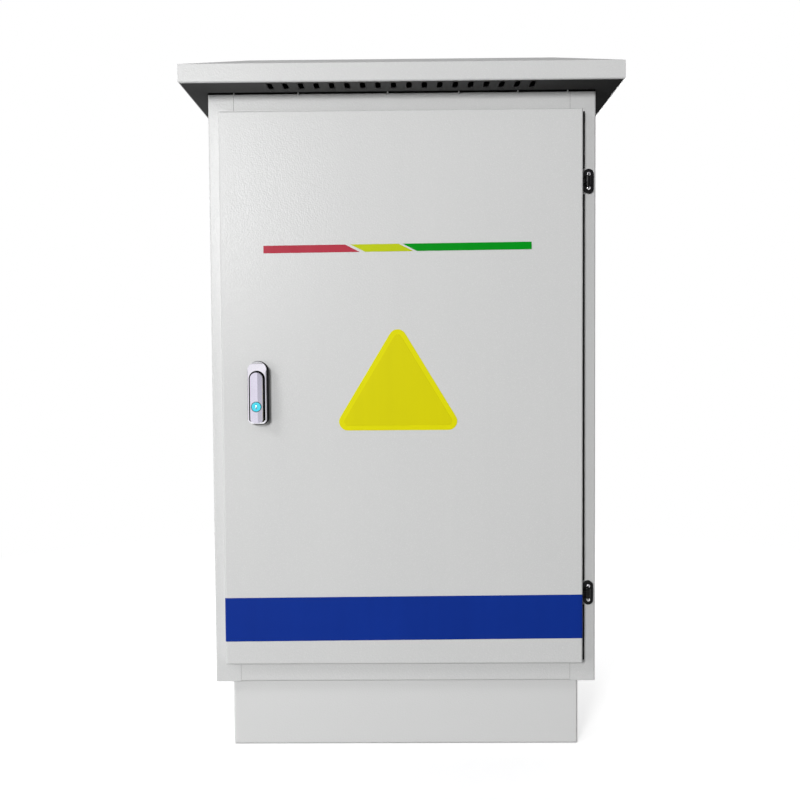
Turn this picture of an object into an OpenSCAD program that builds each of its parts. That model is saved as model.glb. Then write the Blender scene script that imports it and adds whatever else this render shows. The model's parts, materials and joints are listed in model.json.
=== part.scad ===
// Outdoor cabinet of a traffic signal controller. Millimetres, +Z up, the door faces -Y.
// The origin is on the ground, at the middle of the plinth.

/* [Body] */
// Width of the body
body_w = 650; // [560:1:800]
// Depth of the body
body_d = 450; // [400:1:600]
// Height of the body, without plinth and hood
body_h = 1000; // [960:1:1400]
// Thickness of the body and door sheet
sheet = 1.5; // [1:0.1:2]
// Outer radius of every sheet bend
bend_r = 3; // [2.5:0.1:5]
// Width of the stiles beside the doorway
stile_w = 43; // [38:1:60]
// Height of the rails above and below the doorway
rail_h = 58; // [50:1:80]
// Height of the rain lip that stands round the doorway
lip_h = 14; // [8:0.5:16]
// Width of the flanges at the top and back of the body
flange_w = 20; // [15:1:30]

/* [Hood] */
// Overhang of the hood at each side
hood_side = 36; // [20:1:80]
// Overhang of the hood at the front and the back
hood_front = 60; // [50:1:100]
// Height of the fascia
fascia_h = 30; // [26:1:60]
// Rise of the sloping top above the fascia
hood_rise = 36; // [20:1:60]
// Run of the slopes, measured in plan
hood_run = 100; // [60:1:140]
// Number of vent slots in the front soffit
vent_count = 18; // [4:1:20]
// Pitch of the vent slots
vent_pitch = 25.3; // [18:0.1:28]
// Length of a vent slot
vent_l = 34; // [20:1:38]
// Width of a vent slot
vent_w = 9; // [6:0.5:12]
// Distance from the fascia to the slots
vent_inset = 8.4; // [6:0.1:10]

/* [Plinth] */
// Width of the plinth
base_w = 600; // [500:1:610]
// Depth of the plinth
base_d = 400; // [340:1:410]
// Height of the plinth
base_h = 120; // [80:1:200]
// Thickness of the plinth sheet
base_sheet = 2; // [1.5:0.1:3]
// Width of the flanges at the top and bottom of the plinth
base_flange = 45; // [40:1:60]
// Diameter of the four anchor holes
anchor_d = 14; // [10:1:18]
// Distance from the outside of the plinth to an anchor hole
anchor_inset = 25; // [22:1:30]

/* [Door] */
// Margin between door and body edge at the lock side
margin_lock = 21; // [14:1:24]
// Margin between door and body edge at the hinge side
margin_hinge = 25; // [24:1:32]
// Margin between door and body edge at the top and bottom
margin_end = 36; // [24:1:38]
// Depth of the folded door tray
door_depth = 20; // [18:0.5:24]
// Gap between the door tray and the frame
door_gap = 2; // [1:0.5:4]
// Width of the foam seal
seal_w = 13; // [9:1:16]
// Gap between the seal and the rain lip
seal_gap = 0.3; // [0.2:0.1:1]
// Width of the two door stiffeners
stiffener_w = 30; // [20:1:50]
// Depth of the two door stiffeners
stiffener_h = 15; // [10:1:18]
// Width of the document pocket, which sets the stiffeners apart
pocket_w = 224; // [150:1:300]
// Height of the document pocket
pocket_h = 190; // [120:1:260]
// Depth of the document pocket
pocket_d = 32; // [20:1:40]

/* [Hinges] */
// Height of a hinge leaf
leaf_h = 41; // [38:1:60]
// Width of a frame leaf
leaf_w = 16.5; // [16:0.5:20]
// Thickness of a frame leaf
leaf_t = 4.5; // [4:0.1:5]
// Distance from the body's ends to the middle of a hinge
hinge_inset = 152.5; // [100:0.5:250]
// Distance from the door edge to the hinge axis
axis_out = 10; // [9.5:0.1:11]
// Distance from the frame to the hinge axis
axis_front = 8; // [7.5:0.1:9]
// Diameter of the hinge pin
pin_d = 5; // [4:0.1:6]
// Outer diameter of the knuckles
knuckle_d = 11; // [10:0.1:12]
// Height of the middle knuckle
knuckle_h = 7.2; // [6:0.1:9]
// Radial play of every running fit
fit_play = 0.05; // [0.02:0.01:0.09]

/* [Lock] */
// Distance from the lock side of the body to the spindle
lock_in = 82.7; // [78:0.1:100]
// Height of the spindle above the foot of the body
lock_up = 520.9; // [480:0.1:700]
// Width of the housing
lock_w = 32.4; // [31:0.1:36]
// Height of the housing
lock_h = 104; // [102:1:130]
// Distance from the top of the housing to the spindle
lock_top = 28.8; // [28:0.1:34]
// Height of the housing's rim above the door
rim_h = 18; // [16:0.5:20]
// Radius of the nose at the housing's top
nose_r = 23; // [21:0.5:30]
// Width of the lever
lever_w = 20.8; // [20:0.1:24]
// Length of the lever from the spindle to its tip
lever_l = 73; // [68:1:78]
// Thickness of the lever at its ridge
lever_t = 9.6; // [9.2:0.1:11]
// Width of the groove round the lever
groove_w = 2.1; // [1.2:0.1:2.4]
// Distance from the spindle to the key cylinder
key_drop = 46.1; // [40:0.1:60]
// Diameter of the key cylinder
key_d = 17.2; // [15:0.1:18]
// Diameter of the key plug
plug_d = 15; // [11:0.1:15]
// Diameter of the spindle
spindle_d = 12; // [10:0.1:13]
// Throw of the cam's two pins
cam_r = 14; // [13:0.1:16]
// Width of the locking rods
rod_w = 10; // [8:0.5:11]
// Thickness of the locking rods
rod_t = 3; // [2:0.5:4]
// Gap between a rod's end and the doorway
rod_gap = 1; // [0.8:0.1:5]

/* [Inside] */
// Thickness of the mounting plate
plate_t = 2; // [1.5:0.5:3]
// Distance from the mounting plate to the back sheet
plate_gap = 35; // [25:1:60]
// Width of the controller chassis
chassis_w = 440; // [430:1:450]
// Height of the controller chassis
chassis_h = 266; // [250:1:280]
// Depth of the controller chassis
chassis_d = 220; // [180:1:250]
// Width of one breaker pole
pole_w = 18; // [17:0.5:18]
// Height of a breaker
breaker_h = 82; // [78:1:90]
// Side of the fan
fan_w = 120; // [92:1:140]
// Thickness of the fan
fan_t = 25; // [20:1:38]
// Width of the cable entry
entry_w = 320; // [200:1:360]
// Depth of the cable entry
entry_d = 120; // [80:1:140]

/* [Hidden] */
$fn = 64;

paint = "gainsboro";
zinc = "silver";
black = "dimgray";

foot_z = base_h;
top_z = base_h + body_h;
front_y = -body_d / 2;
back_y = body_d / 2;
side_x = body_w / 2;
seam = bend_r - sheet + 0.5;
relief = bend_r + 5;
mid_y = front_y + sheet + seam + (body_d - 3 * sheet - seam) / 2;

// Doorway
way_x = side_x - stile_w;
way_lo = foot_z + rail_h;
way_hi = top_z - rail_h;
foot_flange = (body_w - base_w) / 2 + 30;

// Door
door_l = -side_x + margin_lock;
door_r = side_x - margin_hinge;
door_w = door_r - door_l;
door_x = (door_l + door_r) / 2;
door_lo = foot_z + margin_end;
door_h = body_h - 2 * margin_end;
door_y = front_y - door_gap - door_depth;
door_in = door_y + sheet;

// Hinges
axis_x = door_r + axis_out;
axis_y = front_y - axis_front;
hinge_z = [top_z - hinge_inset, foot_z + hinge_inset];
leaf_x = door_r + 4 + leaf_w / 2;
knuckle_gap = 0.3;
lug_t = 3.6;
screw_out = 11.6;
screw_r = 3;
tab_t = 3;
arm_t = 4;

// Lock, measured forward from the door's face where a value ends in _f
lock_x = -side_x + lock_in;
lock_z = foot_z + lock_up;
gasket_t = 2;
groove_h = 6;
lever_gap = 0.4;
lever_f = rim_h + lever_gap;
lift_f = lever_f + 4.2;
lift_up = 5;
lug_r = 2.5;
lug_w = 6.4;
pivot_d = 3;
nose_up = 9;
head_d = 18;
head_t = 4;
boss_d = 20;
nut_t = 5;
cam_t = 4;
cam_f = door_y - (front_y - 1);
cam_pin_d = 4;
cam_square = 8;
rod_f = cam_f - cam_t - 0.6;
rod_x = cam_r * (1 + cos(45)) / 2;
rod_z = cam_r * sin(45);
eye_h = 13;

// Inside
plate_y = back_y - 2 * sheet - plate_gap - plate_t;
plate_x = way_x - 12;
plate_lo = foot_z + 60;
plate_hi = top_z - 60;
chassis_lo = plate_hi - 70 - chassis_h;
chassis_y = plate_y - chassis_d;
card_h = chassis_h - 12;
card_pitch = (chassis_w - 8) / 84;
rail_y = plate_y - 7.5;
din_w = 35;
power_z = chassis_lo - 130;
field_z = power_z - 190;
duct_w = 2 * plate_x - 40;
duct_h = 40;
duct_z = [chassis_lo - 60, (power_z + field_z) / 2, field_z - 80];
earth_z = plate_lo + 30;
fan_y = 20;
fan_z = top_z - 2 * sheet - fan_t;
fan_hole = fan_w - 8;
fan_hub = fan_w / 3;
axle_d = 4;
main_x = -200;
branch_x = [for (i = [0:2]) main_x + 2.4 * pole_w + i * pole_w];
surge_x = branch_x[2] + 2.2 * pole_w;
socket_x = surge_x + 80;
toggle_r = 6;
toggle_tilt = 40;
panel_t = 2.5;
button_d = 16;
button_out = 5;
button_up = [40, 0, -40];
breaker_front = 62;

// ---------- Shared shapes ----------

// Two flanges at a right angle in the plane, with the outer corner of the bend on the origin
module fold(a, b, t = sheet) {
    translate([bend_r, 0]) square([a - bend_r, t]);
    translate([0, bend_r]) square([t, b - bend_r]);
    translate([bend_r, bend_r]) intersection() {
        difference() {
            circle(bend_r);
            circle(bend_r - t);
        }
        translate([-bend_r, -bend_r]) square(bend_r);
    }
}

// A strip w wide and d deep with its two corners at y = 0 rounded
module round_front(w, d, r) {
    difference() {
        translate([-w / 2, 0]) square([w, d]);
        for (s = [0, 1]) mirror([s, 0]) translate([w / 2 - r, r]) difference() {
            translate([0, -2 * r]) square(2 * r);
            circle(r);
        }
    }
}

// A block that stands on z = 0 with its front at y = 0 and its four front edges rounded
module round_block(w, h, d, r) {
    intersection() {
        linear_extrude(h) round_front(w, d, r);
        translate([w, 0, h / 2]) rotate([0, -90, 0]) linear_extrude(2 * w) round_front(h, d, r);
    }
}

// A folded tray, open at the back
module tray(w, h, d, t = sheet) {
    difference() {
        round_block(w, h, d, bend_r);
        translate([0, t, t]) round_block(w - 2 * t, h - 2 * t, d, bend_r - t);
    }
}

module round_rect(w, h, r) {
    square([w - 2 * r, h], center = true);
    square([w, h - 2 * r], center = true);
    for (x = [-1, 1], y = [-1, 1]) translate([x * (w / 2 - r), y * (h / 2 - r)]) circle(r);
}

// A slot with round ends, its length along y
module slot(w, l) {
    square([w, l - w], center = true);
    for (s = [-1, 1]) translate([0, s * (l - w) / 2]) circle(d = w);
}

// Draws its children as seen from the front: x to the right, y up, extruded towards the viewer
module face_on(x, y, z) {
    translate([x, y, z]) rotate([90, 0, 0]) children();
}

// Draws its children as seen from the right side: x to the back, y up, extruded towards +X
module side_on(x) {
    translate([x, 0, 0]) rotate([90, 0, 90]) children();
}

// ---------- Body ----------

module side_profile() {
    translate([-side_x, front_y]) fold(stile_w, body_d / 2);
    translate([-side_x, back_y]) mirror([0, 1]) fold(flange_w, body_d / 2);
}

// Left side sheet: it turns into the front stile, the back flange and the top and bottom flanges
module side_sheet() {
    bend_l = body_d - 2 * relief;
    translate([0, 0, foot_z + 2 * bend_r]) linear_extrude(body_h - 4 * bend_r) side_profile();
    translate([0, 0, foot_z]) linear_extrude(body_h) difference() {
        side_profile();
        translate([-body_w, front_y + relief]) square([2 * body_w, bend_l]);
    }
    translate([-side_x, bend_l / 2, top_z]) rotate([90, 0, 0]) linear_extrude(bend_l)
        mirror([0, 1]) fold(flange_w, 2 * bend_r);
    translate([-side_x, bend_l / 2, foot_z]) rotate([90, 0, 0]) linear_extrude(bend_l)
        fold(foot_flange, 2 * bend_r);
    translate([-way_x - sheet, front_y - lip_h, way_lo - sheet])
        cube([sheet, lip_h, way_hi - way_lo + 2 * sheet]);
}

module left_side_panel() {
    color(paint) side_sheet();
}

module right_side_panel() {
    color(paint) mirror([1, 0, 0]) side_sheet();
}

// Rail between the stiles, drawn for the top: flange, face and rain lip
module rail(flange) {
    side_on(-way_x) linear_extrude(2 * way_x) {
        translate([front_y, top_z]) mirror([0, 1]) fold(flange, rail_h);
        translate([front_y - lip_h, way_hi]) square([lip_h, sheet]);
    }
}

module top_rail() {
    color(paint) rail(flange_w);
}

module bottom_rail() {
    gap = 1;
    cut = way_x - (side_x - foot_flange) + gap;
    color(paint) translate([0, 0, foot_z + top_z]) mirror([0, 0, 1]) difference() {
        rail(foot_flange);
        for (s = [-1, 1]) translate([s * (way_x - cut / 2), front_y + relief - gap + foot_flange / 2, top_z])
            cube([cut, foot_flange, 4 * sheet], center = true);
    }
}

module back_panel() {
    color(paint) translate([-side_x + sheet + seam, back_y - 2 * sheet, foot_z + sheet])
        cube([body_w - 2 * sheet - 2 * seam, sheet, body_h - 2 * sheet]);
}

module inner_sheet(z) {
    d = body_d - 3 * sheet - seam;
    translate([0, front_y + sheet + seam + d / 2, z]) linear_extrude(sheet) difference() {
        square([body_w - 2 * sheet - 2 * seam, d], center = true);
        children();
    }
}

module floor_plate() {
    color(paint) inner_sheet(foot_z + sheet)
        round_rect(entry_w, entry_d, 12);
}

// Rubber edging that grips the cable entry
module entry_trim() {
    wall = 1.6;
    grip = 6;
    color(black) translate([0, mid_y, foot_z + sheet]) difference() {
        translate([0, 0, -wall]) linear_extrude(sheet + 2 * wall) difference() {
            round_rect(entry_w + 2 * grip, entry_d + 2 * grip, 12 + grip);
            round_rect(entry_w - 2 * wall, entry_d - 2 * wall, 12 - wall);
        }
        linear_extrude(sheet) difference() {
            round_rect(entry_w + 4 * grip, entry_d + 4 * grip, 12 + 2 * grip);
            round_rect(entry_w, entry_d, 12);
        }
    }
}

module top_plate() {
    color(paint) inner_sheet(top_z - 2 * sheet) translate([0, fan_y - mid_y]) circle(d = fan_hole);
}

module hood_profile(w, h, run, r) {
    difference() {
        polygon([[-w / 2, 0], [w / 2, 0], [w / 2, h], [w / 2 - run, h + hood_rise],
            [-w / 2 + run, h + hood_rise], [-w / 2, h]]);
        for (s = [0, 1]) mirror([s, 0]) translate([w / 2 - r, r]) difference() {
            translate([0, -2 * r]) square(2 * r);
            circle(r);
        }
    }
}

module hood_solid(w, d, h, r) {
    intersection() {
        rotate([90, 0, 0]) linear_extrude(2 * d, center = true) hood_profile(w, h, hood_run, r);
        rotate([90, 0, 90]) linear_extrude(2 * w, center = true) hood_profile(d, h, hood_run, r);
    }
}

// Hipped hood with its fascia and soffit, vented through the front soffit
module rain_hood() {
    hood_w = body_w + 2 * hood_side;
    hood_d = body_d + 2 * hood_front;
    seat = flange_w - 2;
    color(paint) translate([0, 0, top_z]) difference() {
        hood_solid(hood_w, hood_d, fascia_h, bend_r);
        translate([0, 0, sheet])
            hood_solid(hood_w - 2 * sheet, hood_d - 2 * sheet, fascia_h - sheet - 0.6, bend_r - sheet);
        translate([0, 0, sheet / 2])
            cube([body_w - 2 * seat, body_d - 2 * seat, 2 * sheet], center = true);
        translate([0, -hood_d / 2 + vent_inset + vent_l / 2, -sheet]) linear_extrude(3 * sheet)
            for (i = [0:vent_count - 1]) translate([(i - (vent_count - 1) / 2) * vent_pitch, 0])
                slot(vent_w, vent_l);
    }
}

// Folded plinth ring with a flange at the top and one at the bottom that takes the anchors
module plinth_solid(w, d, h, r) {
    intersection() {
        linear_extrude(h) round_rect(w, d, r);
        translate([0, 0, h / 2]) rotate([90, 0, 0]) linear_extrude(2 * d, center = true) round_rect(w, h, r);
        translate([0, 0, h / 2]) rotate([90, 0, 90]) linear_extrude(2 * w, center = true) round_rect(d, h, r);
    }
}

module plinth() {
    t = base_sheet;
    anchor_x = base_w / 2 - anchor_inset;
    anchor_y = base_d / 2 - anchor_inset;
    color(paint) difference() {
        plinth_solid(base_w, base_d, base_h, bend_r + 1);
        translate([0, 0, t]) plinth_solid(base_w - 2 * t, base_d - 2 * t, base_h - 2 * t, bend_r + 1 - t);
        translate([0, 0, base_h / 2])
            cube([base_w - 2 * base_flange, base_d - 2 * base_flange, 2 * base_h], center = true);
        for (x = [-1, 1], y = [-1, 1]) translate([x * anchor_x, y * anchor_y, -1])
            cylinder(h = t + 2, d = anchor_d);
    }
}

// ---------- Door ----------

module door_panel() {
    notch_h = knuckle_h + 2;
    color(paint) difference() {
        translate([door_x, door_y, door_lo]) tray(door_w, door_h, door_depth);
        for (z = hinge_z) translate([door_r - 4, axis_y - arm_t / 2 - 1, z - notch_h / 2])
            cube([8, door_depth, notch_h]);
        face_on(lock_x, door_y + 2 * sheet, lock_z) cylinder(h = 3 * sheet, d = boss_d + 0.4);
    }
}

module door_seal() {
    mid_x = way_x + sheet / 2;
    mid_h = (way_hi - way_lo) / 2 + sheet / 2;
    t = door_gap + door_depth - sheet - lip_h - seal_gap;
    color(black) face_on(0, door_in + t, (way_lo + way_hi) / 2) linear_extrude(t) difference() {
        square([2 * mid_x + seal_w, 2 * mid_h + seal_w], center = true);
        square([2 * mid_x - seal_w, 2 * mid_h - seal_w], center = true);
    }
}

// Two folded channels that stiffen the door
module door_stiffeners() {
    l = way_hi - way_lo - 60;
    foot = 12;
    w = stiffener_w;
    stiffener_x = pocket_w / 2 + 1 + foot + w / 2;
    h = stiffener_h;
    t = sheet;
    color(paint) for (s = [-1, 1]) translate([s * stiffener_x, door_in, (way_lo + way_hi) / 2 - l / 2])
        linear_extrude(l) {
            for (m = [0, 1]) mirror([m, 0]) {
                translate([w / 2, h]) mirror([1, 0]) mirror([0, 1]) fold(w / 2, h - t);
                translate([w / 2 - t, 0]) square([foot + t, t]);
            }
        }
}

module document_pocket() {
    t = 1.2;
    color(paint) translate([-pocket_w / 2, door_in, lock_z - pocket_h - 60]) difference() {
        cube([pocket_w, pocket_d, pocket_h]);
        translate([t, t, t]) cube([pocket_w - 2 * t, pocket_d - 2 * t, pocket_h]);
        translate([-1, t, pocket_h]) pocket_slope();
        translate([pocket_w / 2, pocket_d + 1, pocket_h]) rotate([90, 0, 0])
            cylinder(h = pocket_d - t, r = pocket_w / 5);
    }
}

// Slanted mouth of the document pocket, lower at the front
module pocket_slope() {
    rotate([90, 0, 90]) linear_extrude(pocket_w + 2)
        polygon([[0, 0], [pocket_d, -pocket_h / 4], [pocket_d, 1], [0, 1]]);
}

// ---------- Hinges ----------

// Leaf on the frame: a capsule plate with two lugs for the pin
module frame_leaf(z) {
    lug_z = knuckle_h / 2 + knuckle_gap;
    color(black) difference() {
        union() {
            face_on(leaf_x, front_y, z) linear_extrude(leaf_t) round_rect(leaf_w, leaf_h, leaf_w / 2 - 0.1);
            for (s = [0, 1]) translate([axis_x, axis_y, z]) mirror([0, 0, s]) translate([0, 0, lug_z]) {
                cylinder(h = lug_t, d = knuckle_d);
                translate([-knuckle_d / 2, 0, 0]) cube([knuckle_d, axis_front - leaf_t / 2, lug_t]);
            }
        }
        translate([axis_x, axis_y, z - lug_z]) cylinder(h = 2 * lug_z, r = knuckle_d / 2 + knuckle_gap);
        translate([axis_x, axis_y, z - leaf_h / 2]) cylinder(h = leaf_h, d = pin_d);
    }
}

// Leaf on the door: knuckle, arm through the tray's notch and a tab inside it
module door_leaf(z) {
    tab_x = door_r - sheet - tab_t;
    tab_d = 12;
    color(black) difference() {
        union() {
            translate([axis_x, axis_y, z - knuckle_h / 2]) cylinder(h = knuckle_h, d = knuckle_d);
            translate([tab_x, axis_y - arm_t / 2, z - knuckle_h / 2])
                cube([axis_x - tab_x, arm_t, knuckle_h]);
            translate([tab_x, axis_y - tab_d / 2 - 2, z - leaf_h / 2 + 2]) cube([tab_t, tab_d, leaf_h - 4]);
        }
        translate([axis_x, axis_y, z - leaf_h / 2]) cylinder(h = leaf_h, d = pin_d + 2 * fit_play);
    }
}

module hinge_pin(z) {
    l = knuckle_h + 2 * knuckle_gap + 2 * lug_t;
    head_h = 1;
    color(zinc) translate([axis_x, axis_y, z - l / 2]) {
        cylinder(h = l, d = pin_d);
        translate([0, 0, l]) cylinder(h = head_h, d = pin_d + 2);
        translate([0, 0, -head_h]) cylinder(h = head_h, d = pin_d + 2);
    }
}

module upper_hinge_frame_leaf() {
    frame_leaf(hinge_z[0]);
}

module upper_hinge_door_leaf() {
    door_leaf(hinge_z[0]);
}

module upper_hinge_pin() {
    hinge_pin(hinge_z[0]);
}

module lower_hinge_frame_leaf() {
    frame_leaf(hinge_z[1]);
}

module lower_hinge_door_leaf() {
    door_leaf(hinge_z[1]);
}

module lower_hinge_pin() {
    hinge_pin(hinge_z[1]);
}

// Pan-head screw, its head standing on z = 0
module pan_screw(r) {
    h = r * 0.6;
    intersection() {
        cylinder(h = h, r = r);
        translate([0, 0, h - 1.6 * r]) sphere(1.6 * r);
    }
}

module hinge_screws() {
    color(zinc) for (z = hinge_z, s = [-1, 1])
        face_on(leaf_x, front_y - leaf_t, z + s * screw_out) pan_screw(screw_r);
}

module leaf_screws() {
    color(zinc) for (z = hinge_z, s = [-1, 1])
        translate([door_r - sheet - tab_t, axis_y - 2, z + s * screw_out]) rotate([0, -90, 0])
            pan_screw(screw_r);
}

// ---------- Lock ----------

module at_lock() {
    face_on(lock_x, door_y, lock_z) children();
}

module lock_outline(grow = 0) {
    r = lock_w / 2 + grow;
    corner = 10 + grow;
    foot = lock_top - lock_h - grow;
    mid = lock_top - lock_w / 2;
    translate([0, mid]) circle(r);
    translate([-r, foot + corner]) square([2 * r, mid - foot - corner]);
    translate([-r + corner, foot]) square([2 * (r - corner), corner]);
    for (s = [-1, 1]) translate([s * (r - corner), foot + corner]) circle(corner);
}

module lever_outline(grow = 0) {
    r = lever_w / 2 + grow;
    corner = 7 + grow;
    tip = -lever_l - grow;
    circle(r);
    translate([-r, tip + corner]) square([2 * r, -tip - corner]);
    translate([-r + corner, tip]) square([2 * (r - corner), corner]);
    for (s = [-1, 1]) translate([s * (r - corner), tip + corner]) circle(corner);
}

module lock_gasket() {
    color(black) at_lock() linear_extrude(gasket_t) difference() {
        lock_outline(0.8);
        circle(d = boss_d + 0.4);
    }
}

// Housing with a rounded nose above the lever, a groove round the lever and a threaded boss behind
module lock_housing() {
    foot = lock_top - lock_h;
    color(zinc) at_lock() difference() {
        union() {
            intersection() {
                translate([0, 0, gasket_t]) linear_extrude(rim_h - gasket_t) lock_outline();
                translate([0, foot, rim_h]) rotate([-90, 0, 0]) round_block(lock_w, 2 * lock_h, rim_h, 3);
                union() {
                    translate([-lock_w, nose_up, rim_h - nose_r]) rotate([0, 90, 0])
                        cylinder(h = 2 * lock_w, r = nose_r);
                    translate([-lock_w, nose_up - lock_h, 0]) cube([2 * lock_w, lock_h, rim_h]);
                    translate([-lock_w, nose_up, 0]) cube([2 * lock_w, nose_r - 3, rim_h - nose_r + 3]);
                }
            }
            translate([0, 0, -sheet - nut_t - 1]) cylinder(h = sheet + nut_t + 2 + gasket_t, d = boss_d);
        }
        translate([0, 0, rim_h - groove_h]) linear_extrude(2 * groove_h) intersection() {
            difference() {
                lever_outline(groove_w);
                lever_outline();
            }
            translate([-lock_w, foot + 4]) square([2 * lock_w, lock_h]);
        }
        translate([0, 0, rim_h - head_t]) cylinder(h = 3 * head_t, d = head_d + 1);
        translate([0, 0, -rim_h]) cylinder(h = 2 * rim_h, d = spindle_d + 2 * fit_play);
    }
}

module lock_nut() {
    color(zinc) at_lock() translate([0, 0, -sheet - nut_t]) difference() {
        cylinder(h = nut_t, d = 31, $fn = 6);
        translate([0, 0, -1]) cylinder(h = nut_t + 2, d = boss_d);
    }
}

// Spindle: head with the lug that carries the lever, shaft and a square end for the cam
module lock_spindle() {
    color(zinc) at_lock() difference() {
        union() {
            translate([0, 0, rim_h - head_t]) cylinder(h = head_t, d = head_d);
            translate([-lug_w / 2, lift_up - lug_r, rim_h - 1]) cube([lug_w, 2 * lug_r, lift_f - rim_h + 1]);
            translate([-lug_w / 2, lift_up, lift_f]) rotate([0, 90, 0]) cylinder(h = lug_w, r = lug_r);
            translate([0, 0, cam_f + 1]) cylinder(h = rim_h - head_t - cam_f - 1, d = spindle_d);
            translate([-cam_square / 2, -cam_square / 2, cam_f - cam_t])
                cube([cam_square, cam_square, cam_t + 2]);
        }
        translate([-lug_w, lift_up, lift_f]) rotate([0, 90, 0])
            cylinder(h = 2 * lug_w, d = pivot_d + 2 * fit_play);
    }
}

// Cam: a double arm whose two pins drive the rods
module lock_cam() {
    arm_w = 10;
    pin_l = rod_t + 2;
    color(zinc) at_lock() difference() {
        union() {
            translate([0, 0, cam_f - cam_t]) linear_extrude(cam_t) rotate(45) {
                circle(cam_r - 5);
                square([2 * cam_r, arm_w], center = true);
                for (s = [-1, 1]) translate([s * cam_r, 0]) circle(arm_w / 2);
            }
            for (s = [-1, 1]) translate([s * rod_z, s * rod_z, cam_f - cam_t - pin_l])
                cylinder(h = pin_l + 1, d = cam_pin_d);
        }
        translate([-cam_square / 2, -cam_square / 2, cam_f - 2 * cam_t])
            cube([cam_square, cam_square, 3 * cam_t]);
    }
}

// Faceted lever, hollow behind for the spindle's lug and relieved so that it can lift
module lock_lever() {
    r = lever_w / 2;
    full = lever_l + r;
    edge_t = lever_t - 2.6;
    slot_w = lug_w + 0.6;
    slot_lo = lift_up - lug_r - 3.6;
    end_wall = 1.1;
    color(zinc) at_lock() difference() {
        intersection() {
            translate([0, 0, lever_f]) linear_extrude(lever_t) lever_outline();
            translate([0, r, lever_f]) rotate([90, 0, 0]) linear_extrude(full)
                polygon([[-r, 0], [r, 0], [r, edge_t - 1.2], [r - 0.8, edge_t - 0.2], [r * 0.23, lever_t],
                    [-r + 1, edge_t + 0.8], [-r, edge_t]]);
        }
        translate([-slot_w / 2, slot_lo, lever_f - 1])
            cube([slot_w, r - end_wall - slot_lo, lift_f + lug_r + 0.5 - lever_f + 1]);
        translate([-r, 0, 0]) rotate([90, 0, 90]) linear_extrude(2 * r)
            polygon([[lift_up + 0.5, lever_f], [r + 1, lift_f - 1], [r + 1, lever_f - 1],
                [lift_up + 0.5, lever_f - 1]]);
        translate([-r, lift_up, lift_f]) rotate([0, 90, 0]) cylinder(h = 2 * r, d = pivot_d);
        translate([0, -key_drop, 0]) cylinder(h = 3 * rim_h, d = key_d);
    }
}

module lever_pin() {
    l = lever_w - 4;
    color(zinc) at_lock() translate([-l / 2, lift_up, lift_f]) rotate([0, 90, 0])
        cylinder(h = l, d = pivot_d);
}

module key_cylinder() {
    h = lever_t + 0.4;
    color(zinc) at_lock() translate([0, -key_drop, lever_f + 0.2]) difference() {
        cylinder(h = h, d = key_d);
        translate([0, 0, 1.5]) cylinder(h = h, d = plug_d + 2 * fit_play);
    }
}

module key_plug() {
    h = lever_t - 1.6;
    color("mediumturquoise") at_lock() translate([0, -key_drop, lever_f + 2]) difference() {
        cylinder(h = h, d = plug_d);
        translate([0, 0, h - 3]) linear_extrude(4) square([1.8, 7], center = true);
        translate([0, 1.6, h - 3]) cylinder(h = 4, d = 3.4);
    }
}

// Locking rod with a cross slot that lets the cam pin move sideways; s = 1 is the upper rod
module lock_rod(s) {
    slack = 0.4;
    swing = cam_r - rod_z;
    lift_error = 0.031 * cam_r;
    eye_w = swing + cam_pin_d + 9;
    way_end = s > 0 ? way_hi - lock_z : lock_z - way_lo;
    l = way_end - rod_gap - rod_z;
    r = rod_w / 2;
    taper = 5;
    color(zinc) at_lock() rotate(s > 0 ? 0 : 180) translate([rod_x, rod_z, rod_f - rod_t])
        linear_extrude(rod_t) difference() {
            union() {
                round_rect(eye_w, eye_h, 3);
                polygon([[-r, 0], [r, 0], [r, l - taper], [r / 2, l], [-r / 2, l], [-r, l - taper]]);
            }
            square([swing + cam_pin_d + slack, cam_pin_d + 2 * lift_error + slack], center = true);
        }
}

module upper_lock_rod() {
    color(zinc) lock_rod(1);
}

module lower_lock_rod() {
    color(zinc) lock_rod(-1);
}

// Guides that carry the rods on the door
module rod_guides() {
    play = 0.3;
    w = rod_w + 8;
    h = 16;
    reach = -sheet - (rod_f - rod_t) + 3;
    near = 70;
    far_up = way_hi - lock_z - 50;
    far_down = lock_z - way_lo - 50;
    color("ivory") at_lock() for (p = [[1, near], [1, far_up], [-1, near], [-1, far_down]])
        translate([p[0] * rod_x, p[0] * p[1], -sheet - reach]) difference() {
            translate([0, h / 2, 0]) rotate([90, 0, 0]) linear_extrude(h) {
                translate([0, reach / 2]) round_rect(w, reach, 2);
                translate([-w / 2 - 4, reach - 3]) square([w + 8, 3]);
            }
            translate([0, 0, 3 + rod_t / 2])
                cube([rod_w + 2 * play, 2 * h, rod_t + 2 * play], center = true);
        }
}

// ---------- Equipment ----------

module mounting_plate() {
    lip = 12;
    color(paint) translate([0, plate_y, plate_lo]) difference() {
        tray(2 * plate_x, plate_hi - plate_lo, lip, plate_t);
        for (x = [-1, 1], z = [30, plate_hi - plate_lo - 30]) translate([x * (plate_x - 30), 20, z])
            rotate([90, 0, 0]) cylinder(h = 40, d = 6);
    }
}

// Spacers between the mounting plate and the back sheet, each with its bolt
module plate_standoffs() {
    color(zinc) for (x = [-1, 1], z = [plate_lo + 30, plate_hi - 30])
        face_on(x * (plate_x - 30), back_y - 2 * sheet, z) {
            cylinder(h = plate_gap, d = 14, $fn = 6);
            cylinder(h = plate_gap + plate_t, d = 6);
            translate([0, 0, plate_gap + plate_t]) cylinder(h = 4, d = 11, $fn = 6);
        }
}

// Top-hat rail seen from its end
module hat_profile() {
    t = 1;
    h = plate_y - rail_y;
    brim = 5;
    crown = din_w / 2 - brim;
    translate([h - t, -crown]) square([t, 2 * crown]);
    for (m = [0, 1]) mirror([0, m]) translate([0, crown - t]) {
        square([h, t]);
        square([t, brim + t]);
    }
}

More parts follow.
